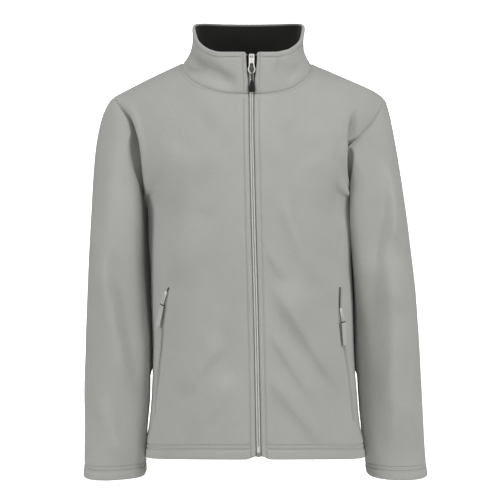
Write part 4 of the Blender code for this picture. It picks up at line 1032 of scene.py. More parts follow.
class Finish:
    """A material with its shader, whose even values are set on its own sockets, and the patterns wired to it."""

    def __init__(self, name, values):
        self.material = bpy.data.materials.new(name)
        self.material.use_nodes = True
        self.tree = self.material.node_tree
        self.tree.nodes.clear()
        self.shader = node(self.tree, "ShaderNodeBsdfPrincipled", values=values)
        node(self.tree, "ShaderNodeOutputMaterial", links={"Surface": self.shader.outputs["BSDF"]})

    def noise(self, grain, detail, roughness=0.5):
        """Soft clumps over the piece, some grain of a metre apart."""
        place = node(self.tree, "ShaderNodeTexCoord").outputs["Object"]
        values = {"Scale": 1 / grain, "Detail": detail, "Roughness": roughness}
        return node(self.tree, "ShaderNodeTexNoise", values=values, links={"Vector": place}).outputs["Fac"]

    def mix(self, share, first, second):
        """Two patterns together, with a share of the second."""
        settings, links = {"data_type": "FLOAT"}, {"A": first, "B": second}
        return node(self.tree, "ShaderNodeMix", settings, {"Factor": share}, links).outputs["Result"]

    def shade(self, pattern, colour, dark, light, ends=(0.0, 1.0)):
        """The base colour, darker where a pattern is low and lighter where it is high."""
        ramp = node(self.tree, "ShaderNodeValToRGB", links={"Fac": pattern})
        for element, end, share in zip(ramp.color_ramp.elements, ends, (dark, light)):
            element.position, element.color = end, rgba(colour, share)
        self.tree.links.new(ramp.outputs["Color"], self.shader.inputs["Base Color"])

    def gloss(self, pattern, low, high):
        """Roughness between two values, by a pattern."""
        values = {"To Min": low, "To Max": high}
        between = node(self.tree, "ShaderNodeMapRange", values=values, links={"Value": pattern})
        self.tree.links.new(between.outputs["Result"], self.shader.inputs["Roughness"])

    def raise_by(self, pattern, strength, height):
        """A pattern raised from the surface to a height in metres."""
        values = {"Strength": strength, "Distance": height}
        bump = node(self.tree, "ShaderNodeBump", values=values, links={"Height": pattern})
        self.tree.links.new(bump.outputs["Normal"], self.shader.inputs["Normal"])


def brushed_fleece(name, colour, sheen, contrast):
    """Brushed polyester fleece: knitted, its loops raised and sheared. The eye gets a matt cloth whose short nap
    catches light at its edges, with soft clumps of 1.6 mm (the fibres of 0.02 mm are too fine to show, so they are
    drawn at 0.6 mm) and a brushed direction that changes over some 30 mm."""
    even = {"Roughness": 0.95, "Specular IOR Level": 0.25, "IOR": 1.5}
    nap_edge = {"Sheen Weight": sheen, "Sheen Roughness": 0.5, "Sheen Tint": rgba((1, 1, 1))}
    made = Finish(name, {**even, **nap_edge})
    nap = made.mix(0.4, made.noise(0.0032, 3.0, 0.6), made.noise(0.0012, 2.0, 0.7))
    brushing = made.noise(0.06, 3.0)
    made.shade(made.mix(0.45, nap, brushing), colour, 1 - contrast, 1 + contrast, (0.3, 0.7))
    made.raise_by(nap, 0.5, 0.0006)
    return made.material


def nylon_coil(name, colour):
    """Extruded nylon 6 filament, wound to a zip's coil: smooth, a little translucent, and bright along each turn."""
    within = {"Subsurface Weight": 0.1, "Subsurface Radius": (0.001, 0.001, 0.001)}
    made = Finish(name, {"Roughness": 0.38, "IOR": 1.53, **within})
    made.shade(made.noise(0.004, 2.0), colour, 0.93, 1.04)
    return made.material


def woven_tape(name, colour, thread=0.0006):
    """Woven polyester tape: flat, dull, with crossing threads. Zip tape has them 0.35 mm apart; they are drawn at
    0.6 mm so that the weave shows."""
    made = Finish(name, {"Roughness": 0.8, "IOR": 1.5, "Sheen Weight": 0.15, "Sheen Roughness": 0.4})
    place = node(made.tree, "ShaderNodeUVMap", {"uv_map": "cloth"}).outputs["UV"]
    weave = node(made.tree, "ShaderNodeMath", {"operation": "MULTIPLY"})
    for i, way in enumerate("XY"):
        scale = {"Scale": 0.314 / thread}  # a wave is 0.314 wide at scale 1
        threads = node(made.tree, "ShaderNodeTexWave", {"bands_direction": way}, scale, {"Vector": place})
        made.tree.links.new(threads.outputs["Fac"], weave.inputs[i])
    made.shade(weave.outputs[0], colour, 0.75, 1.15)
    made.raise_by(weave.outputs[0], 0.5, 0.0002)
    return made.material


def nickel_plate(name, colour):
    """Nickel-plated zinc, die-cast and tumbled: bright and a little uneven, with faint rubbed marks 0.3 mm apart."""
    made = Finish(name, {"Metallic": 1.0})
    rub = made.noise(0.0015, 4.0, 0.6)
    made.shade(rub, colour, 0.9, 1.05)
    made.gloss(rub, 0.56, 0.72)
    made.raise_by(rub, 0.12, 0.0001)
    return made.material


def moulded_rubber(name, colour):
    """Soft PVC moulded in an eroded tool: dark, with a satin surface of fine grain, 0.3 mm across. Acetal resin from
    such a tool, as in a zip's box, has the same grain."""
    made = Finish(name, {"IOR": 1.52, "Specular IOR Level": 0.3})
    grain = made.noise(0.0006, 3.0)
    made.shade(grain, colour, 0.85, 1.2)
    made.gloss(grain, 0.55, 0.7)
    made.raise_by(grain, 0.25, 0.0001)
    return made.material


def spun_thread(name, colour):
    """Spun polyester sewing thread: two plies with a slight gleam, twisted 0.5 mm a turn."""
    made = Finish(name, {"Roughness": 0.6, "IOR": 1.5, "Sheen Weight": 0.3, "Sheen Roughness": 0.4})
    made.shade(made.noise(0.0012, 2.0), colour, 0.85, 1.1)
    return made.material


def seamless_paper(name, colour):
    """Matt white studio paper: even and dull, with the faintest cloud of fibre, some 40 mm across."""
    made = Finish(name, {"Roughness": 0.9, "IOR": 1.45})
    made.shade(made.noise(0.08, 3.0), colour, 0.985, 1.0)
    return made.material


# Each finish: what makes it, the material's name, its colour on the panel, and what else its maker takes
FINISHES = {
    "fleece": (brushed_fleece, "brushed polyester fleece", "fleece", 0.25, 0.07),
    "black_fleece": (brushed_fleece, "black brushed fleece", "lining", 0.1, 0.25),
    "coil": (nylon_coil, "nylon coil", "coil"),
    "zip_tape": (woven_tape, "woven zip tape", "tape"),
    "zip_metal": (nickel_plate, "nickel-plated zinc", "metal"),
    "rubber": (moulded_rubber, "moulded rubber", "rubber"),
    "resin": (moulded_rubber, "moulded acetal resin", "thread"),
    "thread": (spun_thread, "spun sewing thread", "thread"),
    "webbing": (woven_tape, "pull webbing", "webbing", 0.0009),
    "paper": (seamless_paper, "seamless paper", "floor"),
}


@functools.cache
def finish(name):
    """The material of that name, made once."""
    make, label, colour, *more = FINISHES[name]
    return make(label, getattr(bpy.context.scene.jacket_colours, colour), *more)


@functools.cache
def cloth():
    """The cloth's surfaces, worked out once."""
    return Cloth()


def fit(piece, body, slot, *nodes):
    """Puts a finished piece on its body and hides the frame's nodes that it stands for; the material slot is not
    used.
    """
    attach(piece, body)
    if nodes:
        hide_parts(*nodes)


# ---------------------------------------------------------------- body, sleeves and collar


def thickness(name, distance, share=1.0):
    """The cloth's thickness at distances from an edge: more where it is turned up, by the size of that name."""
    return size("cloth") + TURNED_UP * soft_step((size(name) - distance) / 1.5) * share


def turned_edge(distance, lines):
    """The relief of a turned-up edge: two lines of stitches and the soft roll below them."""
    return stitched(distance, lines, 1.3) + plump(distance, lines[0], 0.5)


def make_front(side):
    """A front: a shell with a plump, stitched edge at the zip, a turned-up hem, and cloth drawn in at its seams."""
    jacket, which = cloth(), side_name(side)
    name, lines = f"front_{which}", jacket.hem_lines
    grid, normals = jacket.fronts[side]
    in_zip, up_hem = travelled(grid, 1), travelled(grid, 0)
    in_side, in_top = in_zip[:, -1:] - in_zip, up_hem[-1:] - up_hem
    row = np.arange(len(grid))[:, None]
    at_zip = np.clip((jacket.pit - row) / 2, 0, 1) + 0 * in_zip
    at_side = (row <= jacket.underarm) + 0 * in_zip
    relief = at_zip * (plump(in_zip, ZIP_LINE, 0.9) + stitched(in_zip, [ZIP_LINE]))
    neck = 0.35 * bell(in_zip - 5, 2.2) - groove(in_zip, NECK_SEAM) + stitched(in_zip, [NECK_LINE], 0.4, 1.1)
    relief += (1 - at_zip) * neck
    seams = at_side * groove(in_side, SIDE_SEAM) + (1 - at_side) * groove(in_side, ARMHOLE_SEAM[side])
    relief -= seams + groove(in_top, SHOULDER_SEAM)
    relief += turned_edge(up_hem, lines) * soft_step((in_zip - 9) / 3)
    sink, roll = (ARM_SEAM(f"{which}_{what}", jacket.up) for what in ("sink", "roll"))
    lift = roll * bell(in_side - 12, 7) * (1 - bell(in_side, 4)) - sink * bell(in_side, ARMHOLE_HOLLOW_WIDTH)
    z = grid[..., 2]
    if side == LEFT:
        past = grid[..., 0] - CREASE("x", z)
        lift -= CREASE("depth", z) * bell(past, np.where(past > 0, 8, 1.4))
    beside_underarm = soft_step((z + 340) / 90) * soft_step((-110 - z) / 70)
    high, place, width = UNDERARM_FULLNESS[side]
    grid = grid + normals * (lift + high * bell(in_side - place, width) * beside_underarm)[..., None]
    thick = thickness("hem_height", up_hem, soft_step((in_zip - 17) / 4))
    free = [up_hem, np.where(at_zip > 0, in_zip, FAR)]
    piece, outer = dress(name, grid, normals, relief, thick, free, "fleece")
    fit(piece, "garment", "fleece", name)
    below, above = slice(2, jacket.pit), slice(jacket.pit + 2, -1)
    zip_line = line_at(outer[below], normals[below], ZIP_LINE)
    hem = lines_up(outer, normals, slice(12, -2), lines)
    return [zip_line, *hem, line_at(outer[above], normals[above], NECK_LINE)]


def make_back():
    """The back: a shell with a turned-up hem, drawn in at the side, shoulder, neck and armhole seams."""
    jacket = cloth()
    grid, normals = jacket.back
    in_side, up_hem = from_ends(grid, 1), travelled(grid, 0)
    in_top = up_hem[-1:] - up_hem
    at_side = (np.arange(len(grid))[:, None] <= jacket.underarm) + 0 * in_side
    seams = at_side * groove(in_side, SIDE_SEAM) + (1 - at_side) * groove(in_side, BACK_ARMHOLE_SEAM)
    relief = -seams - groove(in_top, SHOULDER_SEAM)
    in_neck = np.abs(jacket.back_at - BACK_AT[1]) < 3.8
    relief += in_neck * (0.35 * bell(in_top - 5, 2.2) + stitched(in_top, [NECK_LINE], 0.4, 1.1))
    relief += turned_edge(up_hem, jacket.hem_lines)
    thick = thickness("hem_height", up_hem)
    piece, outer = dress("back", grid, normals, relief, thick, [up_hem], "fleece")
    fit(piece, "garment", "fleece", "back")
    hem = lines_up(outer, normals, slice(2, -2), jacket.hem_lines)
    return hem + lines_up(outer, normals, in_neck, [NECK_LINE], True)


def make_sleeve(side):
    """A sleeve: a tube with a turned-up cuff and one seam down its inner side, drawn in at the armhole."""
    jacket, which = cloth(), side_name(side)
    name = f"sleeve_{which}"
    grid, normals = jacket.sleeves[side]
    down = travelled(grid, 0)
    up_cuff = down[-1:] - down
    inner = np.linalg.norm(grid - grid[:, SLEEVE_COLUMNS][:, None], axis=-1)
    relief = -groove(down, ARMHOLE_SEAM[side]) - groove(inner, SLEEVE_SEAM)
    relief += turned_edge(up_cuff, jacket.cuff_lines)
    sink, reach = (ARM_SEAM(f"{which}_{what}", jacket.sleeve_up) for what in ("sink", "reach"))
    grid = grid - normals * (sink * bell(np.maximum(down - 1.2, 0), reach))[..., None]
    thick = thickness("cuff_height", up_cuff)
    piece, outer = dress(name, grid, normals, relief, thick, [up_cuff], "fleece", closed=True)
    fit(piece, "garment", "fleece", name)
    once_round = [*range(outer.shape[1]), 0]
    return lines_up(outer, normals, once_round, jacket.cuff_lines, True)


def make_collar():
    """The stand collar: outer cloth with stitched edges, thicker where it turns over to its black lining."""
    grid, normals = cloth().collar
    in_zip, up = from_ends(grid, 1), travelled(grid, 0)
    in_top = up[-1:] - up
    relief = plump(in_zip, ZIP_LINE, 0.9) + stitched(in_zip, [ZIP_LINE])
    top = stitched(in_top, [TOP_LINE]) + plump(in_top, TOP_LINE, 0.6)
    relief += top * soft_step((in_zip - ZIP_LINE) / 3)
    relief -= groove(up, NECK_SEAM)
    thick = size("cloth") + (COLLAR_BEHIND - 0.1 - size("cloth")) * soft_step((5.5 - in_top) / 3)
    thick = thick + COLLAR_ROLL * soft_step(3.4 - in_top)
    piece, outer = dress("collar_outer", grid, normals, relief, thick, [in_top, in_zip], "fleece")
    fit(piece, "garment", "fleece", "collar_outer")
    rows = ((up / up[-1:]).mean(1) > 0.07) & (in_top.mean(1) > 3.5)
    front, out = grid[rows] - normals[rows] * COLLAR_BEHIND, normals[rows]
    free = [from_ends(front, 1), from_ends(front, 0)]
    lining, _ = dress("collar_lining", front, out, 0 * free[0], LINING + 0 * free[0], free, "black_fleece")
    fit(lining, "garment", "black_fleece", "collar_lining")
    shown = slice(len(SEWN_EDGE), -3)
    sides = [line_at(outer[shown], normals[shown], ZIP_LINE, end) for end in (False, True)]
    return sides + lines_up(outer, normals, slice(16, -16), [TOP_LINE], True)


# ---------------------------------------------------------------- the front zip


class ZipPath:
    """The front opening from the hem to the top of the collar: its centre line, outward direction and edges."""

    def __init__(self, jacket):
        edges, self.under = {}, {}
        for side, columns in ((RIGHT, slice(None, None, -1)), (LEFT, slice(None))):
            lower = [values[: jacket.pit] for values in jacket.fronts[side]]
            upper = [values[:, columns] for values in jacket.collar]
            edges[side] = np.concatenate([lower[0][:, 0], upper[0][:, 0]])
            behind = [
                [line_at(grid - normals * BEHIND_CLOTH, normals, d)[0] for d in np.linspace(0.0, 10.0, 6)]
                for grid, normals in (lower, upper)
            ]
            self.under[side] = np.stack([np.concatenate(pair) for pair in zip(*behind)], 1)
        self.line = (edges[RIGHT] + edges[LEFT]) / 2
        run = np.gradient(self.line, axis=0)
        self.out = unit(np.stack([0 * run[:, 0], -run[:, 2], run[:, 1]], -1))

    def at(self, z):
        """Points of the line, and outward directions there, at some heights."""
        line, out = (read_along(z, self.line[:, 2], values) for values in (self.line, self.out))
        return line, unit(out)


class Place:
    """A place on the cloth: across it to the wearer's left, out of it, and down."""

    def __init__(self, origin, across, out, down):
        self.origin = np.array(origin)
        self.axes = np.array([across, out, down])

    def __call__(self, across, out, down):
        parts = np.stack(np.broadcast_arrays(across, out, down), -1).astype(float)
        return self.origin + parts @ self.axes


def tube(path, radius, facing, around=12, closed=False):
    """Rings of a radius round a path of points; facing is a direction that the path never runs along."""
    if closed:
        along = unit(np.roll(path, -1, 0) - np.roll(path, 1, 0))
    else:
        along = unit(np.gradient(path, axis=0))
    u = unit(np.cross(along, facing))
    v = np.cross(along, u)
    cos, sin = circle(around)
    return path[:, None] + radius * (cos[:, None] * u[:, None] + sin[:, None] * v[:, None])


def smooth_path(points, count):
    """A path through points, evenly read from a cubic of each coordinate over the distance run."""
    points = np.array(points, float)
    run = travelled(points[None], 1)[0]
    at = np.linspace(0, run[-1], count)
    return np.stack([smooth(at, run, points[:, i]) for i in range(points.shape[1])], -1)


def mirrored_loop(half):
    """A closed path from the half of it on the wearer's left, across first, whose ends lie on the middle line."""
    other = half[-2:0:-1].copy()
    other[:, 0] *= -1
    return np.concatenate([half, other])


def zip_coil(path, side):
    """One half of the closed coil: a wire wound round an ellipse that is carried up the zip's line."""
    pitch = size("coil_pitch")
    line, out = path.at(np.linspace(*COIL_ENDS, 1400))
    run = travelled(line[None], 1)[0]
    turns = int(run[-1] / pitch) - 1
    turn = np.arange(turns * 10 + 1) / 10
    at = (turn + (0.5 if side == LEFT else 0)) * pitch
    centre, out = read_along(at, run, line), unit(read_along(at, run, out))
    angle = turn * 2 * math.pi
    (beside, wide), (behind, deep) = COIL_ACROSS, COIL_OUT
    wound = centre + np.array([side, 0, 0.0]) * (beside + wide * np.cos(angle))[:, None]
    wound = wound - out * (behind + deep * np.sin(angle))[:, None]
    return tube(wound, COIL_WIRE, np.array([0, 0, 1.0]), around=5)


def make_front_zip():
    """Tapes behind the fronts' edges, the coil between them, and the box at its foot. A strip of the collar's black
    inner cloth faces each tape at the neck."""
    path = ZipPath(cloth())
    start = int(np.searchsorted(path.line[:, 2], TAPE_FOOT))
    for side in (RIGHT, LEFT):
        which = side_name(side)
        name = f"zip_tape_{which}"
        under, line, out = path.under[side][start:], path.line[start:], path.out[start:]
        near = line - out * BEHIND_CLOTH + np.array([side * 0.15, 0, 0])
        share = np.array([0, 0.35, 0.7])[:, None]
        inner = near[:, None] * (1 - share) + under[:, :1] * share
        behind = TAPE_GAP + 0.15 * np.linspace(0, 1, 9)[:, None]
        front = np.concatenate([inner, under], 1) - out[:, None] * behind
        piece = shell(name, front, front - out[:, None] * TAPE, "zip_tape")
        fit(piece, "garment", "zip_tape", name)
        high = slice(int(np.searchsorted(line[:, 2], FACING_FOOT)), -3)
        open_share = 0.42 + 0.48 * soft_step((16 - line[high, 2]) / 34)[:, None]
        share = open_share + (1 - open_share) * np.array([0, 0.5, 1.0])
        strip = near[high, None] + (under[high, :1] - near[high, None]) * share[..., None]
        strip = np.concatenate([strip, under[high, 1:3]], 1) - out[high, None] * 0.05
        facing = shell(f"zip_facing_{which}", strip, strip - out[high, None] * FACING, "black_fleece")
        fit(facing, "garment", "black_fleece")
        coil = solid_of_rings(f"zip_coil_{which}", zip_coil(path, side), "coil")
        fit(coil, "garment", "coil", *(["zip_chain"] if side == RIGHT else []))
    foot = Place(*BOX_PLACE)
    cos, sin = circle(28, 0.45)
    down = np.linspace(-1, 1, 15)[:, None]
    swell = (1 - np.abs(down) ** 6) ** (1 / 6)
    waist = 1 - 0.06 * bell(down - 0.1, 0.2)
    wide, deep = BOX_HALF_WIDTH * (0.86 + 0.14 * swell) * waist, BOX_DEPTH * (0.5 + 0.5 * swell) * waist
    rings = foot(wide * cos, -BOX_DEPTH / 2 + deep * sin, down * BOX_HALF_HEIGHT - BOX_UP)
    box = solid_of_rings("zip_box_moulded", rings, "resin")
    fit(box, "garment", "zip_tape", "zip_box")


def slider_body(place, low, high, slot):
    """A slider: a rounded top plate with sides turned down round the coil, carried down its own outline."""
    down, wide = SLIDER_STATIONS.stations(40)
    corner = np.radians(np.linspace(0, 90, 6))
    radius = 0.8
    right = wide + np.concatenate([np.array([0.0]), radius * (np.cos(corner) - 1)])
    half_out = np.concatenate([[low], high - radius + radius * np.sin(corner)])
    top_right = np.stack([right, np.broadcast_to(half_out, right.shape)], -1)
    top_left = top_right[:, ::-1] * [-1, 1]
    inner = np.array([(-slot, low), (-slot, high - 1.6), (slot, high - 1.6), (slot, low)])
    outline = np.concatenate([top_right, top_left, np.broadcast_to(inner, (len(down), 4, 2))], 1)
    ends = 0.5 * (bell(down - down[0], 0.5) + bell(down - down[-1], 0.5))
    out = np.where(outline[..., 1] > high - 1.5, outline[..., 1] - ends, outline[..., 1])
    return place(outline[..., 0], out, down)


def lug(place, first, last, half, low, high):
    """The loop on a slider's plate that holds its pull: a rounded bar, arched from end to end."""
    down = np.linspace(0, 1, 17)[:, None]
    height = (high - low) * np.clip(1 - np.abs(2 * down - 1) ** 3.5, 0, 1) ** (1 / 2.2)
    cos, sin = circle(16, 0.6)
    middle, rise = low + (height - 0.4) / 2, (height + 0.4) / 2
    return place(half * cos, middle + rise * sin, first + (last - first) * down)


def make_front_pull():
    """The slider, the long ring in its lug, the cord through the ring and the moulded drop on the cord."""
    seat, hang = Place(*SLIDER_PLACE), Place(*PULL_PLACE)
    body = solid_of_rings("zip_slider_body", slider_body(seat, low=-2.3, high=1.7, slot=3.3), "zip_metal")
    fit(body, "garment", "zip_metal", "zip_slider")
    arch = lug(seat, first=-7.4, last=-1.6, half=1.15, low=1.6, high=4.3)
    arch = solid_of_rings("zip_slider_lug", arch, "zip_metal")
    fit(arch, "garment", "zip_metal")
    across, down = mirrored_loop(smooth_path(RING_PATH, 60)).T
    wire = tube(hang(across, PULL_OUT, down), RING_WIRE, hang.axes[1], 12, closed=True)
    ring = solid_of_rings("zip_ring", wire, "zip_metal", closed=True)
    fit(ring, "front_pull", "zip_metal", "zip_pull")
    down = np.linspace(-1.0, 8.5, 16)[:, None]
    cos, sin = circle(20, 0.4, 1)
    wide = 3.3 * (1 - 0.12 * bell(down - 8.5, 1.5))
    web = solid_of_rings("zip_ring_web", hang(wide * cos, PULL_OUT + 0.55 * sin, down), "zip_metal")
    fit(web, "front_pull", "zip_metal")
    points = hang(*smooth_path(CORD_PATH, 120).T)
    facing = hang.axes[0] + 0.3 * hang.axes[1]
    piece = solid_of_rings("zip_cord_black", tube(points, CORD_RADIUS, facing, 10), "rubber")
    fit(piece, "front_pull", "rubber", "zip_cord")
    down, wide, deep = DROP_STATIONS.stations(50)
    cos, sin = circle(28, 0.85, 1)
    grip = 1 - 0.09 * sum(bell(down - at, 0.45) for at in DROP_GROOVES)
    drop = solid_of_rings("zip_drop_moulded", hang(0.6 + wide * cos, 3.1 + deep * grip * sin, down), "rubber")
    fit(drop, "front_pull", "rubber", "zip_drop")


# ---------------------------------------------------------------- pockets


def front_place(x, z):
    """The front's outer surface over (x, z), and the direction out of it."""
    here = torso_point(x, z, True)
    across = torso_point(x + 0.4, z, True) - torso_point(x - 0.4, z, True)
    up = torso_point(x, z + 0.4, True) - torso_point(x, z - 0.4, True)
    return here, unit(np.cross(across, up))


def make_pocket_zip(side):
    """A pocket's opening: two rolled lips of cloth along a line down the front, and a strip of black cloth between
    them, painted shade for the shadow deep in the slit.
    """
    which, table = side_name(side), POCKET[side]
    z = np.linspace(table.at[0], table.at[-1], 140)
    x = table("x", z)
    slope = np.gradient(x, z)
    _, out = front_place(x, z)
    run = np.stack([1 + 0 * slope, -slope], -1) / np.hypot(1, slope)[:, None] * -out[:, 1:2]
    slit = -side * POCKET_SLIT

    def strip(offsets, lift, depth, name, material):
        """A shell beside the line, its outside and its normals: offsets run square to the line in the cloth."""
        base, normals = front_place(x[:, None] + offsets * run[:, :1], z[:, None] + offsets * run[:, 1:])
        ends = soft_step(np.minimum(z - z[0], z[-1] - z) / 4)[:, None]
        outer = base + normals * (lift * ends - 0.3 * (1 - ends))[..., None]
        return shell(name, outer, base - normals * depth, material), outer, normals

    half = (1.0 + POCKET_GAPE[side] * soft_step((z - POCKET_SLIDER_Z[side] - 4) / 8))[:, None]
    share = np.linspace(0, 1, 12)
    first = -POCKET_LIP + (slit - half + POCKET_LIP) * share
    offsets = np.concatenate([first, slit + half + (POCKET_LIP - slit - half) * share], 1)
    outside = (offsets - slit) * side > 0
    width = np.where(offsets < slit, slit + POCKET_LIP, POCKET_LIP - slit) - half
    share = np.clip((np.abs(offsets - slit) - half) / width, 0, 1)
    rolled = np.where(outside, 2.4, 1.9) * np.clip(1 - share**2.4, 0, 1)
    lift = rolled * soft_step(share * width / 0.8 + 0.1) - 0.25
    lips, outer, normals = strip(offsets, lift, 0.9, f"pocket_lips_{which}", "fleece")
    fit(lips, "garment", "fleece", f"pocket_zip_{which}")
    # Painted shade: a black strip laid down the slit in the collar lining's black cloth, standing in for the shadow
    # inside the opening
    offsets = slit + (half + 0.3) * np.linspace(-1, 1, 5)
    tape, *_ = strip(offsets, 0.1 + 0 * offsets, 0.5, f"pocket_tape_{which}", "black_fleece")
    fit(tape, "garment", "black_fleece")
    return [(outer[4:-4, i], normals[4:-4, i]) for i in (1, -2)]


def make_pocket_pull(side):
    """A pocket's slider and the wire loop and webbing tab that hang from it."""
    which = side_name(side)
    seat = Place(*POCKET_PLACES[side])
    down, wide = POCKET_SLIDER.stations(36)
    ends = np.clip(1 - np.abs(down / 8.0) ** 10, 0.05, 1) ** 0.5
    cos, sin = circle(20, 0.6)
    plate = seat(wide * cos, 0.55 + 0.6 * ends * sin, down)
    body = solid_of_rings(f"pocket_slider_body_{which}", plate, "zip_metal")
    fit(body, "garment", "zip_metal", f"pocket_slider_{which}")
    arch = lug(seat, first=-5.0, last=0.2, half=0.85, low=1.0, high=3.1)
    arch = solid_of_rings(f"pocket_slider_lug_{which}", arch, "zip_metal")
    fit(arch, "garment", "zip_metal")
    swing = math.radians(POCKET_PULL_LEAN[side])

    def lean(across, out, down):
        """A point of the pull, swung sideways in the cloth about its pin."""
        run = np.asarray(down) + PIN_UP
        sideways = across * math.cos(swing) + run * math.sin(swing)
        return seat(sideways, out, run * math.cos(swing) - PIN_UP - across * math.sin(swing))

    path = lean(*mirrored_loop(smooth_path(POCKET_LOOP, 40)).T)
    wire = tube(path, POCKET_WIRE, seat.axes[1], 10, closed=True)
    loop = solid_of_rings(f"pocket_wire_{which}", wire, "zip_metal", closed=True)
    fit(loop, f"pocket_pull_{which}", "zip_metal", f"pocket_loop_{which}")
    down, wide, deep = POCKET_TAB.stations(50)
    cos, sin = circle(32, 0.3, 0.5)
    sewn = 1 - 0.25 * (bell(down - 19.5, 0.7) + bell(down - 53.5, 0.7))
    rings = lean(wide * cos, TAB_OUT + deep * sewn * sin, down)
    uv = np.stack(np.broadcast_arrays(wide * cos, down), -1)
    uv = np.concatenate([uv[:1], uv, uv[-1:]]).reshape(-1, 2)
    uv = np.concatenate([uv, uv[[0, -1]]])
    tab = solid_of_rings(f"pocket_webbing_{which}", rings, "webbing", uv=uv)
    fit(tab, f"pocket_pull_{which}", "fleece", f"pocket_tab_{which}")
    rings = lean(4.7 * cos, TAB_OUT + 1.45 * sin, np.array([14.9, 15.0, 16.6, 16.7])[:, None])
    band = solid_of_rings(f"pocket_band_{which}", rings, "rubber")
    fit(band, f"pocket_pull_{which}", "rubber")


# ---------------------------------------------------------------- stage


def make_stage():
    """Pale paper that sweeps from the floor up behind the jacket, soft lights in front and above, and the camera
    level with the jacket's middle. The sweep's profile is flat, then a quarter circle, then upright."""
    turn = np.radians(np.linspace(0, 90, 13))
    back = np.concatenate([[SWEEP_FRONT], SWEEP_BACK - SWEEP_BEND + SWEEP_BEND * np.sin(turn), [SWEEP_BACK]])
    up = np.concatenate([[0.0], SWEEP_BEND - SWEEP_BEND * np.cos(turn), [SWEEP_HEIGHT]]) + FLOOR_Z
    across = np.array([-SWEEP_HALF_WIDTH, 0, SWEEP_HALF_WIDTH])
    top = np.stack(np.broadcast_arrays(across[:, None], back, up), -1)
    away = unit(np.stack([0 * back, np.gradient(up), -np.gradient(back)], -1))
    sweep = shell("studio_sweep", top, top + away * 20, "paper")
    scene = bpy.context.scene
    world = bpy.data.worlds.new("studio")
    world.use_nodes = True
    tree = world.node_tree
    tree.nodes.clear()
    even = node(tree, "ShaderNodeBackground", values={"Color": (1, 1, 1, 1), "Strength": FILL_LIGHT})
    node(tree, "ShaderNodeOutputWorld", links={"Surface": even.outputs[0]})
    scene.world = world
    for name, place, aim, (width, height), power in LIGHTS:
        light = bpy.data.lights.new(name, "AREA")
        light.shape, light.size, light.size_y, light.energy = "RECTANGLE", width, height, power
        lamp = bpy.data.objects.new(name, light)
        lamp.location = place
        lamp.rotation_euler = (Vector(place) - Vector(aim)).to_track_quat("Z", "Y").to_euler()
        scene.collection.objects.link(lamp)
    camera = bpy.data.cameras.new("camera")
    camera.lens, camera.sensor_width = CAMERA_LENS, 36.0
    camera.dof.use_dof = False
    stand = bpy.data.objects.new("camera", camera)
    stand.location = CAMERA_PLACE
    stand.rotation_euler = (math.pi / 2, 0, 0)
    scene.collection.objects.link(stand)
    scene.camera = stand
    scene.view_settings.view_transform = "Standard"


# ---------------------------------------------------------------- add-on


def panel_length(name, description, default, least, most):
    """A length on the panel, in metres."""
    return bpy.props.FloatProperty(
        name=name, description=description, default=default, min=least, max=most, unit="LENGTH", precision=4
    )


def panel_colour(name, description, default):
    """A colour on the panel, from its sRGB hex value."""
    return bpy.props.FloatVectorProperty(
        name=name, description=description, default=linear(default), subtype="COLOR", min=0, max=1
    )


class JacketSizes(bpy.types.PropertyGroup):
    """Sizes that a maker would change."""

    cloth: panel_length("Cloth thickness", "Thickness of the fleece with its nap", 0.0024, 0.001, 0.005)
    hem_height: panel_length("Hem height", "Height of the turned-up hem", 0.025, 0.01, 0.06)
    cuff_height: panel_length("Cuff height", "Height of the turned-up cuffs", 0.024, 0.01, 0.06)
    stitch_gauge: panel_length(
        "Twin-needle gauge", "Gap between the two lines of stitches at hem and cuffs", 0.0068, 0.003, 0.01
    )
    stitch_length: panel_length("Stitch length", "Length of one stitch with its gap", 0.003, 0.0015, 0.006)
    thread: panel_length("Thread", "Diameter of the sewing thread", 0.0005, 0.0002, 0.001)
    coil_pitch: panel_length("Coil pitch", "Height of one turn of the zip's coil", 0.0015, 0.001, 0.003)
    fold_depth: bpy.props.FloatProperty(
        name="Fold depth",
        description="How deep the soft folds are, against their usual depth",
        default=1.0,
        min=0.0,
        max=1.5,
    )


class JacketColours(bpy.types.PropertyGroup):
    """Colours that a maker would change."""

    fleece: panel_colour("Fleece", "Light grey outer cloth", "#A3A3A0")
    # This black also colours the strips painted into the pocket slits as shade
    lining: panel_colour("Collar lining", "Black inner cloth of the collar", "#161614")
    coil: panel_colour("Coil", "Pale grey zip coil", "#EDEDE9")
    tape: panel_colour("Zip tape", "Light grey woven tape", "#A5A5A1")
    metal: panel_colour("Zip metal", "Nickel plating of sliders and loops", "#E2E1DD")
    rubber: panel_colour("Drop and cord", "Black moulded drop and cord", "#0C0C0B")
    thread: panel_colour("Thread", "Sewing thread, close to the cloth", "#84847F")
    webbing: panel_colour("Pocket tabs", "Pale grey webbing of the pocket pulls", "#BDBDBA")
    floor: panel_colour("Floor", "Pale studio floor", "#F7F7F5")


class JACKET_OT_body(bpy.types.Operator):
    """Add the fronts and the back with their stitches"""

    bl_idname = "jacket.body"
    bl_label = "Fronts and Back"

    def execute(self, context):
        lines = make_back()
        for side in (RIGHT, LEFT):
            lines += make_front(side)
        stitches("body_stitches", lines)
        return {"FINISHED"}


class JACKET_OT_sleeves(bpy.types.Operator):
    """Add both sleeves with their cuff stitches"""

    bl_idname = "jacket.sleeves"
    bl_label = "Sleeves"

    def execute(self, context):
        stitches("cuff_stitches", make_sleeve(RIGHT) + make_sleeve(LEFT))
        return {"FINISHED"}


class JACKET_OT_collar(bpy.types.Operator):
    """Add the stand collar, its lining and its stitches"""

    bl_idname = "jacket.collar"
    bl_label = "Collar"

    def execute(self, context):
        stitches("collar_stitches", make_collar())
        return {"FINISHED"}


class JACKET_OT_front_zip(bpy.types.Operator):
    """Add the front zip's tapes, coil and box"""

    bl_idname = "jacket.front_zip"
    bl_label = "Front Zip"

    def execute(self, context):
        make_front_zip()
        return {"FINISHED"}


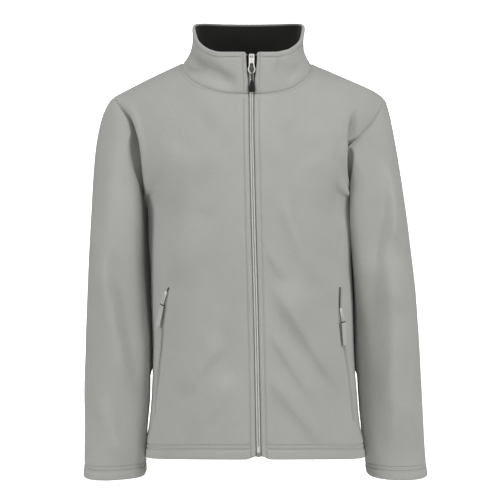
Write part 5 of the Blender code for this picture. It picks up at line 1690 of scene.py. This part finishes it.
class JACKET_OT_front_pull(bpy.types.Operator):
    """Add the front slider with its ring, cord and drop"""

    bl_idname = "jacket.front_pull"
    bl_label = "Front Slider and Pull"

    def execute(self, context):
        make_front_pull()
        return {"FINISHED"}


class JACKET_OT_pockets(bpy.types.Operator):
    """Add the pocket openings with their sliders and tabs"""

    bl_idname = "jacket.pockets"
    bl_label = "Pockets"

    def execute(self, context):
        lines = []
        for side in (RIGHT, LEFT):
            lines += make_pocket_zip(side)
            make_pocket_pull(side)
        stitches("pocket_stitches", lines)
        return {"FINISHED"}


class JACKET_OT_stage(bpy.types.Operator):
    """Add the floor, lights and camera"""

    bl_idname = "jacket.stage"
    bl_label = "Stage"

    def execute(self, context):
        make_stage()
        return {"FINISHED"}


OPERATORS = (
    JACKET_OT_body,
    JACKET_OT_sleeves,
    JACKET_OT_collar,
    JACKET_OT_front_zip,
    JACKET_OT_front_pull,
    JACKET_OT_pockets,
    JACKET_OT_stage,
)


class JACKET_PT_panel(bpy.types.Panel):
    """Sizes, colours and pieces of the jacket"""

    bl_idname = "JACKET_PT_panel"
    bl_label = "Fleece Zip Jacket"
    bl_space_type = "VIEW_3D"
    bl_region_type = "UI"
    bl_category = "Jacket"

    def draw(self, context):
        for group in (context.scene.jacket_sizes, context.scene.jacket_colours):
            box = self.layout.box()
            for name in group.__annotations__:
                box.prop(group, name)
        for operator in OPERATORS:
            self.layout.operator(operator.bl_idname)


CLASSES = (JacketSizes, JacketColours, *OPERATORS, JACKET_PT_panel)


def register():
    for made in CLASSES:
        bpy.utils.register_class(made)
    bpy.types.Scene.jacket_sizes = bpy.props.PointerProperty(type=JacketSizes)
    bpy.types.Scene.jacket_colours = bpy.props.PointerProperty(type=JacketColours)


def unregister():
    del bpy.types.Scene.jacket_colours
    del bpy.types.Scene.jacket_sizes
    for made in reversed(CLASSES):
        bpy.utils.unregister_class(made)


def main():
    register()
    for operator in OPERATORS:
        group, name = operator.bl_idname.split(".")
        getattr(getattr(bpy.ops, group), name)()


if __name__ == "__main__":
    main()
